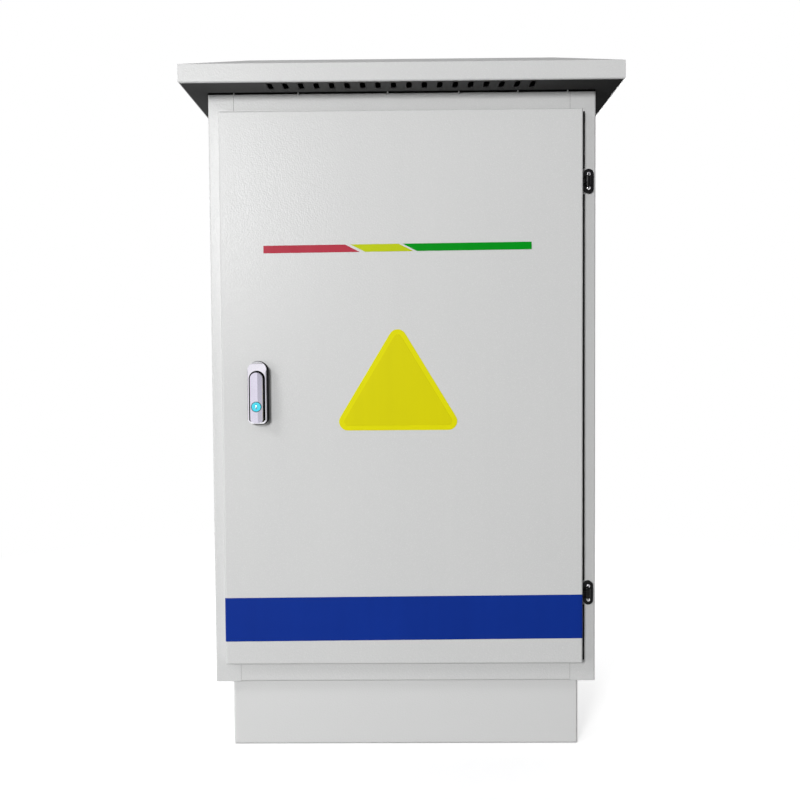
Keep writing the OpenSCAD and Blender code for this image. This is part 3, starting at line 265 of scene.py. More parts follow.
finishes = {
    # powderCoat's paler plinth is painted light
    "powderCoat": {**paint, "zones": [((0.712, 0.715, 0.712), 0.3, plinth)]},
    # hoodCoat: the roof painted darker, and the soffit painted dark and darker still to the right, all as
    # painted shade
    "hoodCoat": {**paint, "zones": [((0.53, 0.533, 0.53), 0.75, roof), ((0.135, 0.135, 0.135), 0.95, soffit),
                                    ((0.025, 0.025, 0.025), 0.95, soffit + darkEnd)]},
    "blackDieCast": tones((0.0025, 0.0025, 0.003), (0.004, 0.004, 0.0045), rough=0.3, edge=(0.02, 0.02, 0.02),
                          depth=0.00015, specular=0.12),
    "brightChrome": tones((0.80, 0.79, 0.86), (0.74, 0.73, 0.81), chrome, rough=0.16),
    # lockChrome's near-black sides and recess are painted shade
    "lockChrome": tones((0.92, 0.92, 0.95), (0.86, 0.86, 0.90), chrome, rough=0.18, specular=0.1,
                        zones=[((0.004, 0.004, 0.005), 0.5, sides), ((0.003, 0.003, 0.004), 0.5, recess)]),
    "leverChrome": tones((0.80, 0.78, 0.88), (0.74, 0.72, 0.82), chrome, rough=0.2, specular=0.1, soft=0.0003,
                         zones=[((0.006, 0.006, 0.008), 0.5, sides)]),
    "zincPlate": tones((0.60, 0.61, 0.62), (0.48, 0.50, 0.52), metallic=1, rough=0.30, roughSpread=0.18,
                       grain=260, patch=22),
    "brightScrew": tones((0.90, 0.90, 0.90), (0.84, 0.84, 0.85), smallMetal, rough=0.24),
    # black rubber of the gaskets, also used for the painted shade strip beside the door's hinge edge
    "blackRubberAndShade": tones((0.010, 0.010, 0.010), (0.016, 0.016, 0.016), rough=0.62, specular=0.12, grain=1200,
                         depth=0.0003, patch=12),
    # near-black finish of painted shade, for the gap under the hood and the groove round the lock lever
    "paintedShadeBlack": tones((0.002, 0.002, 0.002), (0.003, 0.003, 0.003), rough=0.6, specular=0.02, grain=700,
                       depth=0.0003, patch=20),
    # the keyway's near-black in tealEnamel is painted shade
    "tealEnamel": tones((0.04, 0.74, 0.92), (0.03, 0.62, 0.80), keyPart, rough=0.16, coat=0.6,
                        zones=[((0.01, 0.03, 0.04), 0.5, plugRecess)]),
    "plugRing": tones((0.006, 0.075, 0.10), (0.005, 0.055, 0.08), keyPart, specular=0.25),
    "shutterSteel": tones((0.30, 0.36, 0.40), (0.26, 0.31, 0.35), keyPart, metallic=1),
    "deviceWhite": tones((0.66, 0.665, 0.65), (0.60, 0.60, 0.585), moulded, rough=0.38),
    "toggleBlue": tones((0.02, 0.10, 0.42), (0.015, 0.08, 0.34), rough=0.28),
    "toggleGreen": tones((0.012, 0.20, 0.08), (0.01, 0.15, 0.06), rough=0.28),
    "buttonRed": tones((0.55, 0.022, 0.018), (0.46, 0.016, 0.014), button),
    "buttonYellow": tones((0.80, 0.50, 0.02), (0.72, 0.44, 0.02), button),
    "buttonGreen": tones((0.018, 0.36, 0.07), (0.014, 0.28, 0.05), button),
    "arresterOrange": tones((0.70, 0.22, 0.03), (0.60, 0.18, 0.025), moulded),
    "terminalGrey": tones((0.30, 0.33, 0.36), (0.25, 0.275, 0.30), rough=0.45, grain=1000, depth=0.00015,
                          patch=16),
    "ductGrey": tones((0.36, 0.375, 0.385), (0.32, 0.335, 0.345), rough=0.5, grain=500, patch=6),
    "earthBrass": tones((0.72, 0.50, 0.20), (0.52, 0.36, 0.15), metallic=1, rough=0.26, roughSpread=0.2,
                        grain=300, depth=0.00015, patch=24),
    "guideNylon": tones((0.72, 0.71, 0.66), (0.66, 0.65, 0.60), rough=0.45, patch=20),
    "chassisPlate": brushed,
    "cardStack": {**brushed, "zones": [((0.018, 0.018, 0.02), 0.45, ejectors),
                                       ((0.01, 0.10, 0.035), 0.35, boards)]},
    "fanBlack": tones((0.016, 0.016, 0.018), (0.024, 0.024, 0.026), rough=0.42, depth=0.00015, patch=20),
    "connectorNickel": tones((0.30, 0.31, 0.33), (0.26, 0.27, 0.29), smallMetal, rough=0.42),
    "connectorBlack": tones((0.012, 0.012, 0.013), (0.018, 0.018, 0.02), rough=0.38, patch=40),
    "contactGold": tones((0.85, 0.62, 0.26), (0.78, 0.54, 0.20), metallic=1, rough=0.22, grain=700,
                         depth=0.00002, patch=60),
    "displayCell": tones((0.055, 0.085, 0.035), (0.05, 0.075, 0.03), rough=0.2, depth=0.00001),
    "displayGlass": tones((0.10, 0.15, 0.07), (0.09, 0.135, 0.06), rough=0.08, depth=0.00001, coat=0.6,
                          coatRough=0.04),
    "markerWhite": tones((0.74, 0.74, 0.72), (0.70, 0.70, 0.68), rough=0.5, depth=0.00005, patch=20),
    "lensRed": tones((0.55, 0.012, 0.010), (0.48, 0.010, 0.008), lensLook),
    "lensAmber": tones((0.72, 0.34, 0.010), (0.64, 0.28, 0.008), lensLook),
    "lensGreen": tones((0.015, 0.42, 0.06), (0.012, 0.35, 0.05), lensLook),
    "filmBlue": tones((0.003, 0.030, 0.28), (0.002, 0.025, 0.24), printed, rough=0.34, specular=0.1, patch=5),
    "filmRed": tones((0.44, 0.022, 0.048), (0.40, 0.018, 0.042), printed, specular=0.12),
    "filmYellow": tones((0.52, 0.60, 0.008), (0.47, 0.55, 0.008), printed),
    "filmGreen": tones((0.001, 0.30, 0.012), (0.001, 0.27, 0.010), printed, specular=0.03),
    "filmGold": tones((0.71, 0.66, 0.003), (0.67, 0.62, 0.003), printed, rough=0.36),
    "filmAmber": tones((0.78, 0.74, 0.003), (0.74, 0.70, 0.003), printed, rough=0.34),
    "seamShade": tones((0.40, 0.40, 0.40), (0.34, 0.34, 0.34), rough=0.6, grain=700, patch=12),
    "inletBlack": tones((0.02, 0.02, 0.022), (0.028, 0.028, 0.03), rough=0.34),
}
materials = {name: makeFinish(name, look) for name, look in finishes.items()}

slotFinish = {
    "powder_coat": "powderCoat", "black_zinc": "blackDieCast", "lock_chrome": "brightChrome",
    "plated_steel": "zincPlate", "black_rubber": "blackRubberAndShade", "key_teal": "tealEnamel",
    "device_white": "deviceWhite", "toggle_blue": "toggleBlue", "toggle_green": "toggleGreen",
    "button_red": "buttonRed", "button_yellow": "buttonYellow", "button_green": "buttonGreen",
    "surge_orange": "arresterOrange", "terminal_grey": "terminalGrey", "duct_grey": "ductGrey",
    "brass_bar": "earthBrass", "nylon_white": "guideNylon", "card_panel": "cardStack",
    "fan_black": "fanBlack",
}
ownFinish = {
    "rain_hood": "hoodCoat", "lock_housing": "lockChrome", "lock_lever": "leverChrome",
    "key_cylinder": "plugRing", "controller_chassis": "chassisPlate", "upper_hinge_pin": "blackDieCast",
    "lower_hinge_pin": "blackDieCast",
}


def coat(thing, finish):
    thing.data.materials.clear()
    thing.data.materials.append(materials[finish])


for part in frame["record"]["subparts"]:
    coat(cadNodes[part["node"]], ownFinish.get(part["node"], slotFinish[part["material_slot"]]))
print("finishes on the frame: %d" % len(materials))


# Mesh helpers


def clean(bm):
    bmesh.ops.remove_doubles(bm, verts=bm.verts, dist=1e-7)
    bmesh.ops.recalc_face_normals(bm, faces=bm.faces)


def finishPiece(name, bm, finish, body, smooth=False):
    mesh = bpy.data.meshes.new(name)
    clean(bm)
    for face in bm.faces:
        face.smooth = smooth
    bm.to_mesh(mesh)
    bm.free()
    if smooth:
        mesh.set_sharp_from_angle(angle=math.radians(35))
    piece = bpy.data.objects.new(name, mesh)
    scene.collection.objects.link(piece)
    coat(piece, finish)
    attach(piece, body)
    return piece


def extrudeFaces(bm, faces, offset):
    grown = bmesh.ops.extrude_face_region(bm, geom=faces)["geom"]
    bmesh.ops.translate(bm, vec=offset, verts=[v for v in grown if isinstance(v, bmesh.types.BMVert)])


def outlineFace(bm, corners):
    bm.faces.new([bm.verts.new(corner) for corner in corners])


def roundOff(bm, geom, offset, segments, affect="VERTICES"):
    bmesh.ops.bevel(bm, geom=geom, offset=offset, offset_type="OFFSET", affect=affect, segments=segments,
                    profile=0.5, material=-1)


def topFace(bm):
    return max(bm.faces, key=lambda f: f.calc_center_median().z)


def rectangle(bm, middle, size):  # flat in x and y
    x, y, z = middle
    w, h = size[0] / 2, size[1] / 2
    outlineFace(bm, [(x - w, y - h, z), (x + w, y - h, z), (x + w, y + h, z), (x - w, y + h, z)])


def asTemplate(bm):  # a small shape, kept to be stamped many times
    clean(bm)
    mesh = bpy.data.meshes.new("template")
    bm.to_mesh(mesh)
    bm.free()
    return mesh


def stamp(bm, template, place, towards=(0, -1, 0), turn=0):  # the template's z points towards
    count = len(bm.verts)
    bm.from_mesh(template)
    bm.verts.ensure_lookup_table()
    aim = Vector(towards).to_track_quat("Z", "Y").to_matrix().to_4x4()
    bmesh.ops.transform(bm, matrix=Matrix.Translation(place) @ aim @ Matrix.Rotation(turn, 4, "Z"),
                        verts=bm.verts[count:])


def turned(profile, steps=20):  # profile of (radius, height) turned round z
    bm = bmesh.new()
    points = [bm.verts.new((radius, 0, height)) for radius, height in profile]
    edges = [bm.edges.new(pair) for pair in zip(points, points[1:])]
    bmesh.ops.spin(bm, geom=points + edges, cent=(0, 0, 0), axis=(0, 0, 1), angle=2 * math.pi, steps=steps,
                   use_merge=True)
    return bm


def block(low, high, soften=0, segments=2):
    bm = bmesh.new()
    bmesh.ops.create_cube(bm, size=1)
    low, high = Vector(low), Vector(high)
    bmesh.ops.scale(bm, vec=high - low, verts=bm.verts)
    bmesh.ops.translate(bm, vec=(low + high) / 2, verts=bm.verts)
    if soften:
        roundOff(bm, bm.edges[:], soften, segments, "EDGES")
    return bm


def slab(x, z, size, near, far, soften=0, segments=2):  # faces the front, from y near to y far
    w, h = size[0] / 2, size[1] / 2
    return block((x - w, near, z - h), (x + w, far, z + h), soften, segments)


def pad(size, low, high, soften=0, segments=2):  # centred on the z axis, from z low to z high
    return block((-size[0] / 2, -size[1] / 2, low), (size[0] / 2, size[1] / 2, high), soften, segments)


def sinkRecess(bm, height, depth, arms):  # arms are (half width, half length) of the cuts along x and y
    def flatTop():
        return [f for f in bm.faces if f.normal.z > 0.99 and f.calc_center_median().z > height - 1e-6]

    for wide, long in arms:
        cuts = [((wide, 0, 0), (1, 0, 0)), ((-wide, 0, 0), (1, 0, 0)), ((0, long, 0), (0, 1, 0)),
                ((0, -long, 0), (0, 1, 0))]
        for at, across in cuts:
            top = flatTop()
            around = {v for f in top for v in f.verts} | {e for f in top for e in f.edges} | set(top)
            bmesh.ops.bisect_plane(bm, geom=list(around), plane_co=at, plane_no=across)
            bm.normal_update()
    sunk = [f for f in flatTop() if any(abs(f.calc_center_median().x) < wide
                                        and abs(f.calc_center_median().y) < long for wide, long in arms)]
    extrudeFaces(bm, sunk, (0, 0, -depth))


def screwHead(radius, height, arms):
    bm = turned([(0, height), (radius * 0.72, height), (radius * 0.93, height * 0.8), (radius, height * 0.42),
                 (radius, 0), (0, 0)], 24)
    clean(bm)
    bmesh.ops.dissolve_faces(bm, faces=[f for f in bm.faces if f.normal.z > 0.99])
    bm.normal_update()
    sinkRecess(bm, height, height * 0.6, arms)
    return asTemplate(bm)


def crossHead(radius, height):
    return screwHead(radius, height, [(radius * 0.13, radius * 0.58), (radius * 0.58, radius * 0.13)])


def slotHead(radius, height):
    return screwHead(radius, height, [(radius * 0.14, radius * 0.69)])


# Printed films on the door

film = {"thickness": 0.0002, "lift": 0.00002, "bend": 0.003, "wrap": 0.004}


def flatFilm(name, corners, finish, tilt=0, layer=0):
    bm = bmesh.new()
    y = doorFront - film["lift"] - layer * (film["thickness"] + film["lift"])
    outlineFace(bm, [(x, y, z + tilt * (x - doorLow.x)) for x, z in corners])
    extrudeFaces(bm, bm.faces[:], (0, -film["thickness"], 0))
    finishPiece(name, bm, finish, "door")


band = {"bottom": 0.1957, "top": 0.2702, "tilt": 0.0060}


def bandFilm():  # follows the door's bends at both ends
    bm = bmesh.new()
    radius = film["bend"] + film["lift"]
    corner = Vector((doorHigh.x - film["bend"], doorFront + film["bend"], band["bottom"]))
    quarter = [corner + radius * Vector((math.cos(a), -math.sin(a), 0)) for a in
               [math.radians(90 * i / 8) for i in range(9)]]
    start = Vector((doorHigh.x + film["lift"], doorFront + film["bend"] + film["wrap"], band["bottom"]))
    ends = [start] + quarter
    middle = doorHigh.x + doorLow.x
    path = ends + [Vector((middle - p.x, p.y, p.z)) for p in reversed(ends)]
    points = [bm.verts.new(p) for p in path]
    edges = [bm.edges.new(pair) for pair in zip(points, points[1:])]
    risen = bmesh.ops.extrude_edge_only(bm, edges=edges)["geom"]
    bmesh.ops.translate(bm, vec=(0, 0, band["top"] - band["bottom"]),
                        verts=[v for v in risen if isinstance(v, bmesh.types.BMVert)])
    bmesh.ops.recalc_face_normals(bm, faces=bm.faces)
    front = min(bm.faces, key=lambda f: f.calc_center_median().y)
    if front.normal.y > 0:
        bmesh.ops.reverse_faces(bm, faces=bm.faces[:])
    bmesh.ops.solidify(bm, geom=bm.faces[:], thickness=-film["thickness"])
    for vert in bm.verts:
        vert.co.z += band["tilt"] * (vert.co.x - doorLow.x)
    finishPiece("blueBand", bm, "filmBlue", "door")


bandFilm()

stripe = {"bottom": 0.8488, "top": 0.8614, "tilt": 0.0076, "slant": 0.0245,
          "parts": {"redStripe": ("filmRed", -0.2314, -0.0708, 0, 1),
                    "yellowStripe": ("filmYellow", -0.0620, 0.0183, 1, 1),
                    "greenStripe": ("filmGreen", 0.0245, 0.2148, 1, 0)}}  # 1 where that end slants
for name, (finish, left, right, startSlant, endSlant) in stripe["parts"].items():
    flatFilm(name, [(left, stripe["bottom"]), (right, stripe["bottom"]),
                    (right - endSlant * stripe["slant"], stripe["top"]),
                    (left - startSlant * stripe["slant"], stripe["top"])], finish, stripe["tilt"])


sign = {"inset": 0.0085, "x": -0.0090, "bottom": 0.5529, "top": 0.7218, "reach": 0.0840, "corner": 0.0150}


def signOutline(corner):
    low, high = sign["bottom"] + sign["corner"], sign["top"] - sign["corner"]
    middles = ((sign["x"] - sign["reach"], low, 150), (sign["x"] + sign["reach"], low, 270),
               (sign["x"], high, 30))
    return [(x + corner * math.cos(math.radians(turn + 10 * i)),
             z + corner * math.sin(math.radians(turn + 10 * i))) for x, z, turn in middles for i in range(13)]


flatFilm("yellowField", signOutline(sign["corner"]), "filmAmber")
flatFilm("goldField", signOutline(sign["corner"] - sign["inset"]), "filmGold", 0, 1)
print("films on the door")


# Hood joint: a black strip of painted shade in the gap under the hood, with the tacks that hold the hood

gapShade = {"height": 0.0032, "proud": 0.0003, "depth": 0.0045, "corner": 0.0032, "below": 0.0001}


# a black band in the gap between the body's top and the hood: painted shade of that gap
def hoodGapShade():
    bm = bmesh.new()
    bmesh.ops.create_grid(bm, x_segments=1, y_segments=1, size=0.5)
    bmesh.ops.scale(bm, vec=(2 * (bodyHigh.x + gapShade["proud"]), 2 * (gapShade["proud"] - bodyFace), 1),
                    verts=bm.verts)
    roundOff(bm, bm.verts[:], gapShade["corner"], 6)
    rim = bmesh.ops.inset_region(bm, faces=bm.faces[:], thickness=gapShade["depth"], use_boundary=True)["faces"]
    bmesh.ops.delete(bm, geom=[f for f in bm.faces if f not in rim], context="FACES")
    bmesh.ops.translate(bm, vec=(0, 0, hoodSeat - gapShade["height"]), verts=bm.verts)
    extrudeFaces(bm, bm.faces[:], (0, 0, gapShade["height"] - gapShade["below"]))
    finishPiece("hoodGapShade", bm, "paintedShadeBlack", "cabinet")


tacks = {"front": (-0.281, -0.173, -0.023, 0.096, 0.195, 0.278), "side": (-0.12, 0.02, 0.14),
         "radius": 0.0014, "height": 0.0062}


def hoodTacks():
    bm = bmesh.new()
    r, h = tacks["radius"], tacks["height"]
    tack = asTemplate(turned([(0, h / 2), (r * 0.6, h * 0.44), (r, h * 0.3), (r, -h * 0.3),
                              (r * 0.6, -h * 0.44), (0, -h / 2)], 12))
    z = hoodSeat - h * 0.46
    for x in tacks["front"]:
        stamp(bm, tack, (x, bodyFace - gapShade["proud"], z), (0, 0, 1))
        stamp(bm, tack, (x, gapShade["proud"] - bodyFace, z), (0, 0, 1))
    for y in tacks["side"]:
        stamp(bm, tack, (bodyLow.x - gapShade["proud"], y, z), (0, 0, 1))
        stamp(bm, tack, (bodyHigh.x + gapShade["proud"], y, z), (0, 0, 1))
    finishPiece("hoodTacks", bm, "powderCoat", "cabinet", smooth=True)


seam = {"width": 0.0007, "proud": 0.0001, "short": 0.003}
railLow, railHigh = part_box("top_rail")


# grey strips over the joints where the top and bottom rails meet the sides: painted shade of the seams
def railSeams():
    bm = bmesh.new()
    for x in (railLow.x, railHigh.x):
        for low, high in ((doorHigh.z, bodyHigh.z - seam["short"]), (bodyLow.z + seam["short"], doorLow.z)):
            line = asTemplate(block((x - seam["width"] / 2, bodyFace - seam["proud"], low),
                                    (x + seam["width"] / 2, bodyFace + seam["proud"], high),
                                    seam["proud"] * 0.6, 1))
            bm.from_mesh(line)
    finishPiece("railSeams", bm, "seamShade", "cabinet")


hoodGapShade()
hoodTacks()
railSeams()


# Hinge side: a black strip of painted shade on the frame beside the door's edge, and the screws of the leaves

edgeShade = {"gap": 0.0002, "width": 0.0062, "thick": 0.0016, "clear": 0.0005, "soften": 0.0006}


# a black strip beside the door's hinge edge, broken at the leaves: painted shade of the door's edge
def hingeEdgeShade():
    bm = bmesh.new()
    clear = edgeShade["clear"]
    leafEnds = [z for low, high in leafBoxes for z in (low.z - clear, high.z + clear)]
    stops = [doorLow.z] + leafEnds + [doorHigh.z]
    left = doorHigh.x + edgeShade["gap"]
    for low, high in zip(stops[::2], stops[1::2]):
        part = asTemplate(block((left, bodyFace - edgeShade["thick"], low),
                                (left + edgeShade["width"], bodyFace, high), edgeShade["soften"]))
        bm.from_mesh(part)
    finishPiece("hingeEdgeShade", bm, "blackRubberAndShade", "cabinet", smooth=True)


leafScrew = {"radius": 0.0031, "height": 0.0020, "out": 0.0116, "proud": 0.0045}


def hingeScrewHeads():
    head = crossHead(leafScrew["radius"], leafScrew["height"])
    outer, inner = bmesh.new(), bmesh.new()
    tabLow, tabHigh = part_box("leaf_screws")
    for low, high in leafBoxes:
        middle = (low.z + high.z) / 2
        for side in (-1, 1):
            z = middle + side * leafScrew["out"]
            place = ((low.x + high.x) / 2, bodyFace - leafScrew["proud"], z)
            stamp(outer, head, place, turn=0.5 + side)
            stamp(inner, head, (tabHigh.x, (tabLow.y + tabHigh.y) / 2, z), (-1, 0, 0), 0.3 * side)
    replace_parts(finishPiece("frameLeafScrews", outer, "brightScrew", "cabinet", smooth=True),
                "hinge_screws")
    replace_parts(finishPiece("doorLeafScrews", inner, "brightScrew", "door", smooth=True),
                "leaf_screws")


hingeEdgeShade()
hingeScrewHeads()


# Lock: a black strip of painted shade round the lever's recess, and the shutter in the keyhole

grooveShade = {"inner": 0.0121, "outer": 0.0136, "thick": 0.00012, "top": 0.0289, "foot": 0.006}


# a thin black U-shaped strip on the housing's face round the lever: painted shade of the groove
def leverGrooveShade():
    bm = bmesh.new()
    x, z = (lockLow.x + lockHigh.x) / 2, lockHigh.z - grooveShade["top"]
    y = lockLow.y
    foot = lockLow.z + grooveShade["foot"]
    rings = []
    for radius in (grooveShade["inner"], grooveShade["outer"]):
        arc = [(x + radius * math.cos(math.radians(7.5 * i)), y, z + radius * math.sin(math.radians(7.5 * i)))
               for i in range(25)]
        rings.append([(x + radius, y, foot)] + arc + [(x - radius, y, foot)])
    lines = []
    for ring in rings:
        points = [bm.verts.new(p) for p in ring]
        lines.append([bm.edges.new(pair) for pair in zip(points, points[1:])])
    bmesh.ops.bridge_loops(bm, edges=lines[0] + lines[1])
    extrudeFaces(bm, bm.faces[:], (0, -grooveShade["thick"], 0))
    finishPiece("leverGrooveShade", bm, "paintedShadeBlack", "door")


shutter = {"size": (0.0030, 0.0062), "front": -0.0003, "back": 0.0012, "soften": 0.0006}


def keyShutter():
    middle = (plugLow + plugHigh) / 2
    bm = slab(middle.x, middle.z, shutter["size"], plugLow.y + shutter["front"], plugLow.y + shutter["back"],
              shutter["soften"], 3)
    finishPiece("keyShutter", bm, "shutterSteel", "key_plug", smooth=True)


leverGrooveShade()
keyShutter()


# Back: the screws of the rear panel

backScrews = {"inset": 0.0105, "first": 0.040, "count": 9, "radius": 0.0046, "height": 0.0026}


def rearPanelScrews():
    bm = bmesh.new()
    head = crossHead(backScrews["radius"], backScrews["height"])
    step = (bodyHigh.z - bodyLow.z - 2 * backScrews["first"]) / (backScrews["count"] - 1)
    for side in (-1, 1):
        for i in range(backScrews["count"]):
            stamp(bm, head, (side * (bodyHigh.x - backScrews["inset"]), -bodyFace,
                             bodyLow.z + backScrews["first"] + i * step), (0, 1, 0), 0.7 * i * side)
    finishPiece("rearPanelScrews", bm, "brightScrew", "cabinet", smooth=True)


rearPanelScrews()
print("hood joint, hinges, lock and back")


# Controller: screws, lenses, display, sockets and connectors on the card fronts

rack = {"units": 84, "pitch": 0.432 / 84, "half": 0.133, "gap": 0.0005, "inset": 0.006, "sunk": 0.0012,
        "pocket": 0.0010, "wideCard": 0.050}
cards = {"power": (0, 14), "processor": (14, 34), "manual": (70, 84)}
drivers = [(34 + 6 * n, 40 + 6 * n) for n in range(6)]
rackMiddle = (chassisLow.z + chassisHigh.z) / 2


def cardX(span):
    return (span[0] + span[1] - rack["units"]) / 2 * rack["pitch"]


cardScrew = {"radius": 0.0025, "height": 0.0017}


def cardScrews():
    bm = bmesh.new()
    head = slotHead(cardScrew["radius"], cardScrew["height"])
    for index, span in enumerate(list(cards.values()) + drivers):
        half = ((span[1] - span[0]) * rack["pitch"] - rack["gap"]) / 2
        for side in (-1, 1) if 2 * half > rack["wideCard"] else (0,):
            for up in (-1, 1):
                place = (cardX(span) + side * (half - rack["inset"]), cardFace + rack["sunk"],
                         rackMiddle + up * (rack["half"] - rack["inset"]))
                stamp(bm, head, place, turn=index + side + 2 * up)
    finishPiece("cardScrews", bm, "brightScrew", "cabinet", smooth=True)


indicator = {"radius": 0.0015, "first": 0.096, "group": 0.034, "step": 0.009, "status": (-0.0315, 0.040)}


def cardLenses():
    r = indicator["radius"]
    lens = asTemplate(turned([(0, r * 0.8), (r * 0.5, r * 0.68), (r * 0.87, r * 0.35), (r, 0), (r, -r)], 12))
    places = {"lensRed": [], "lensAmber": [], "lensGreen": []}
    for span in drivers:
        for group in range(4):
            for i, tint in enumerate(("lensRed", "lensAmber", "lensGreen")):
                up = indicator["first"] - indicator["group"] * group - indicator["step"] * i
                places[tint].append((cardX(span), up))
    dx, up = indicator["status"]
    for i in range(8):
        tint = "lensGreen" if i < 5 else "lensAmber" if i < 7 else "lensRed"
        places[tint].append((cardX(cards["processor"]) + dx + indicator["step"] * i, up))
    for tint, spots in places.items():
        bm = bmesh.new()
        for x, z in spots:
            stamp(bm, lens, (x, cardFace, rackMiddle + z))
        finishPiece(tint.replace("lens", "indicator"), bm, tint, "cabinet", smooth=True)


display = {"up": 0.084, "frame": (0.0732, 0.0372), "proud": 0.0007, "border": 0.0040, "sink": 0.0004,
           "pane": (0.0644, 0.0284), "paneFront": 0.0005, "paneBack": 0.0003, "cell": (0.0024, 0.0042),
           "ink": 0.00008, "pitch": (0.0031, 0.0062), "count": (20, 4)}


def displayPane():
    x, z, y = cardX(cards["processor"]), rackMiddle + display["up"], cardFace + rack["pocket"]
    bm = slab(x, z, display["frame"], y - display["proud"], y, 0.0003, 1)
    bmesh.ops.remove_doubles(bm, verts=bm.verts, dist=1e-7)
    front = min(bm.faces, key=lambda f: f.calc_center_median().y)
    bmesh.ops.inset_region(bm, faces=[front], thickness=display["border"])
    extrudeFaces(bm, [front], (0, display["sink"], 0))
    finishPiece("displayFrame", bm, "inletBlack", "cabinet")
    glass = y - display["paneFront"]
    bm = slab(x, z, display["pane"], glass, y - display["paneBack"], 0.00005, 1)
    finishPiece("displayPane", bm, "displayGlass", "cabinet")
    bm = bmesh.new()
    cell = asTemplate(pad(display["cell"], 0, display["ink"]))
    (wide, high), (columns, rows) = display["pitch"], display["count"]
    for row in range(rows):
        for column in range(columns):
            dx, dz = (column - (columns - 1) / 2) * wide, (row - (rows - 1) / 2) * high
            stamp(bm, cell, (x + dx, glass, z + dz))
    finishPiece("displayCells", bm, "displayCell", "cabinet")


jack = {"up": 0.008, "apart": 0.022, "size": (0.0146, 0.0126), "deep": 0.014, "proud": 0.0004, "wall": 0.0012,
        "hole": 0.011, "step": ((0.0022, -0.0053, -0.009), (0.0063, -0.0029, -0.0002)),
        "contact": ((-0.0002, 0.0005, -0.009), (0.0002, 0.0051, -0.0016)), "pitch": 0.00102}


def jackSockets():
    shells, contacts = bmesh.new(), bmesh.new()
    bm = pad(jack["size"], -jack["deep"], jack["proud"], 0.0003, 1)
    front = topFace(bm)
    bmesh.ops.inset_region(bm, faces=[front], thickness=jack["wall"])
    extrudeFaces(bm, [front], (0, 0, -jack["hole"]))
    low, high = jack["step"]
    parts = [asTemplate(bm), asTemplate(block((-high[0], *low[1:]), (-low[0], *high[1:]))),
             asTemplate(block(low, high))]
    contact = asTemplate(block(*jack["contact"], 0.0001, 1))
    for side in (-1, 0, 1):
        place = Vector((cardX(cards["processor"]) + side * jack["apart"], cardFace, rackMiddle + jack["up"]))
        for part in parts:
            stamp(shells, part, place)
        for i in range(8):
            stamp(contacts, contact, place + Vector(((i - 3.5) * jack["pitch"], 0, 0)))
    finishPiece("jackSockets", shells, "inletBlack", "cabinet")
    finishPiece("jackContacts", contacts, "contactGold", "cabinet")


plug = {"up": (-0.030, -0.062), "plate": (0.0312, 0.0122), "behind": 0.0012, "proud": 0.0003,
        "shell": (0.0084, 0.0040), "slant": 0.0011, "corner": 0.0018, "out": 0.0058, "wall": 0.0005,
        "hole": 0.0052, "inner": (0.0077, 0.0034), "core": 0.0012, "pitch": (0.00277, 0.00142),
        "post": 0.0125}


def plugOutline(bm, half):
    (w, h), slant = half, plug["slant"]
    outlineFace(bm, [(-w + slant, -h, 0), (w - slant, -h, 0), (w, h, 0), (-w, h, 0)])


def plugConnectors():  # nine-pin connectors with their jack screws
    shells, cores, pins = bmesh.new(), bmesh.new(), bmesh.new()
    plate = asTemplate(pad(plug["plate"], -plug["behind"], plug["proud"], 0.0002, 1))
    bm = bmesh.new()
    plugOutline(bm, plug["shell"])
    roundOff(bm, bm.verts[:], plug["corner"], 4)
    extrudeFaces(bm, bm.faces[:], (0, 0, plug["out"]))
    bmesh.ops.recalc_face_normals(bm, faces=bm.faces)
    front = topFace(bm)
    bmesh.ops.inset_region(bm, faces=[front], thickness=plug["wall"])
    extrudeFaces(bm, [front], (0, 0, -plug["hole"]))
    shell = asTemplate(bm)
    bm = bmesh.new()
    plugOutline(bm, plug["inner"])
    extrudeFaces(bm, bm.faces[:], (0, 0, plug["core"]))
    core = asTemplate(bm)
    pin = asTemplate(turned([(0, 0.0052), (0.0003, 0.0051), (0.0005, 0.0046), (0.0005, 0)], 8))
    post = asTemplate(turned([(0.0012, 0.0018), (0.0012, 0.0050), (0.0024, 0.0050), (0.0027, 0.0046),
                              (0.0027, 0)], 6))
    wide, high = plug["pitch"]
    for up in plug["up"]:
        place = Vector((cardX(cards["processor"]), cardFace, rackMiddle + up))
        stamp(shells, plate, place)
        stamp(shells, shell, place + Vector((0, -0.0002, 0)))
        stamp(cores, core, place + Vector((0, -plug["proud"], 0)))
        for side in (-1, 1):
            stamp(shells, post, place + Vector((side * plug["post"], -plug["proud"], 0)))
        for row, count in ((-1, 4), (1, 5)):
            for i in range(count):
                stamp(pins, pin, place + Vector(((i - (count - 1) / 2) * wide, -plug["core"], row * high)))
    finishPiece("connectorShells", shells, "connectorNickel", "cabinet", smooth=True)
    finishPiece("connectorCores", cores, "connectorBlack", "cabinet")
    finishPiece("connectorPins", pins, "contactGold", "cabinet", smooth=True)


inlet = {"down": 0.070, "size": (0.0272, 0.0192), "deep": 0.012, "long": 0.0126, "soften": 0.0005,
         "wall": 0.0018, "corner": 0.0040, "hole": 0.0100, "blade": (0.0020, 0.0044), "root": -0.0102,
         "tip": -0.0012, "blades": ((-0.0070, -0.0016), (0.0070, -0.0016), (0, 0.0026))}


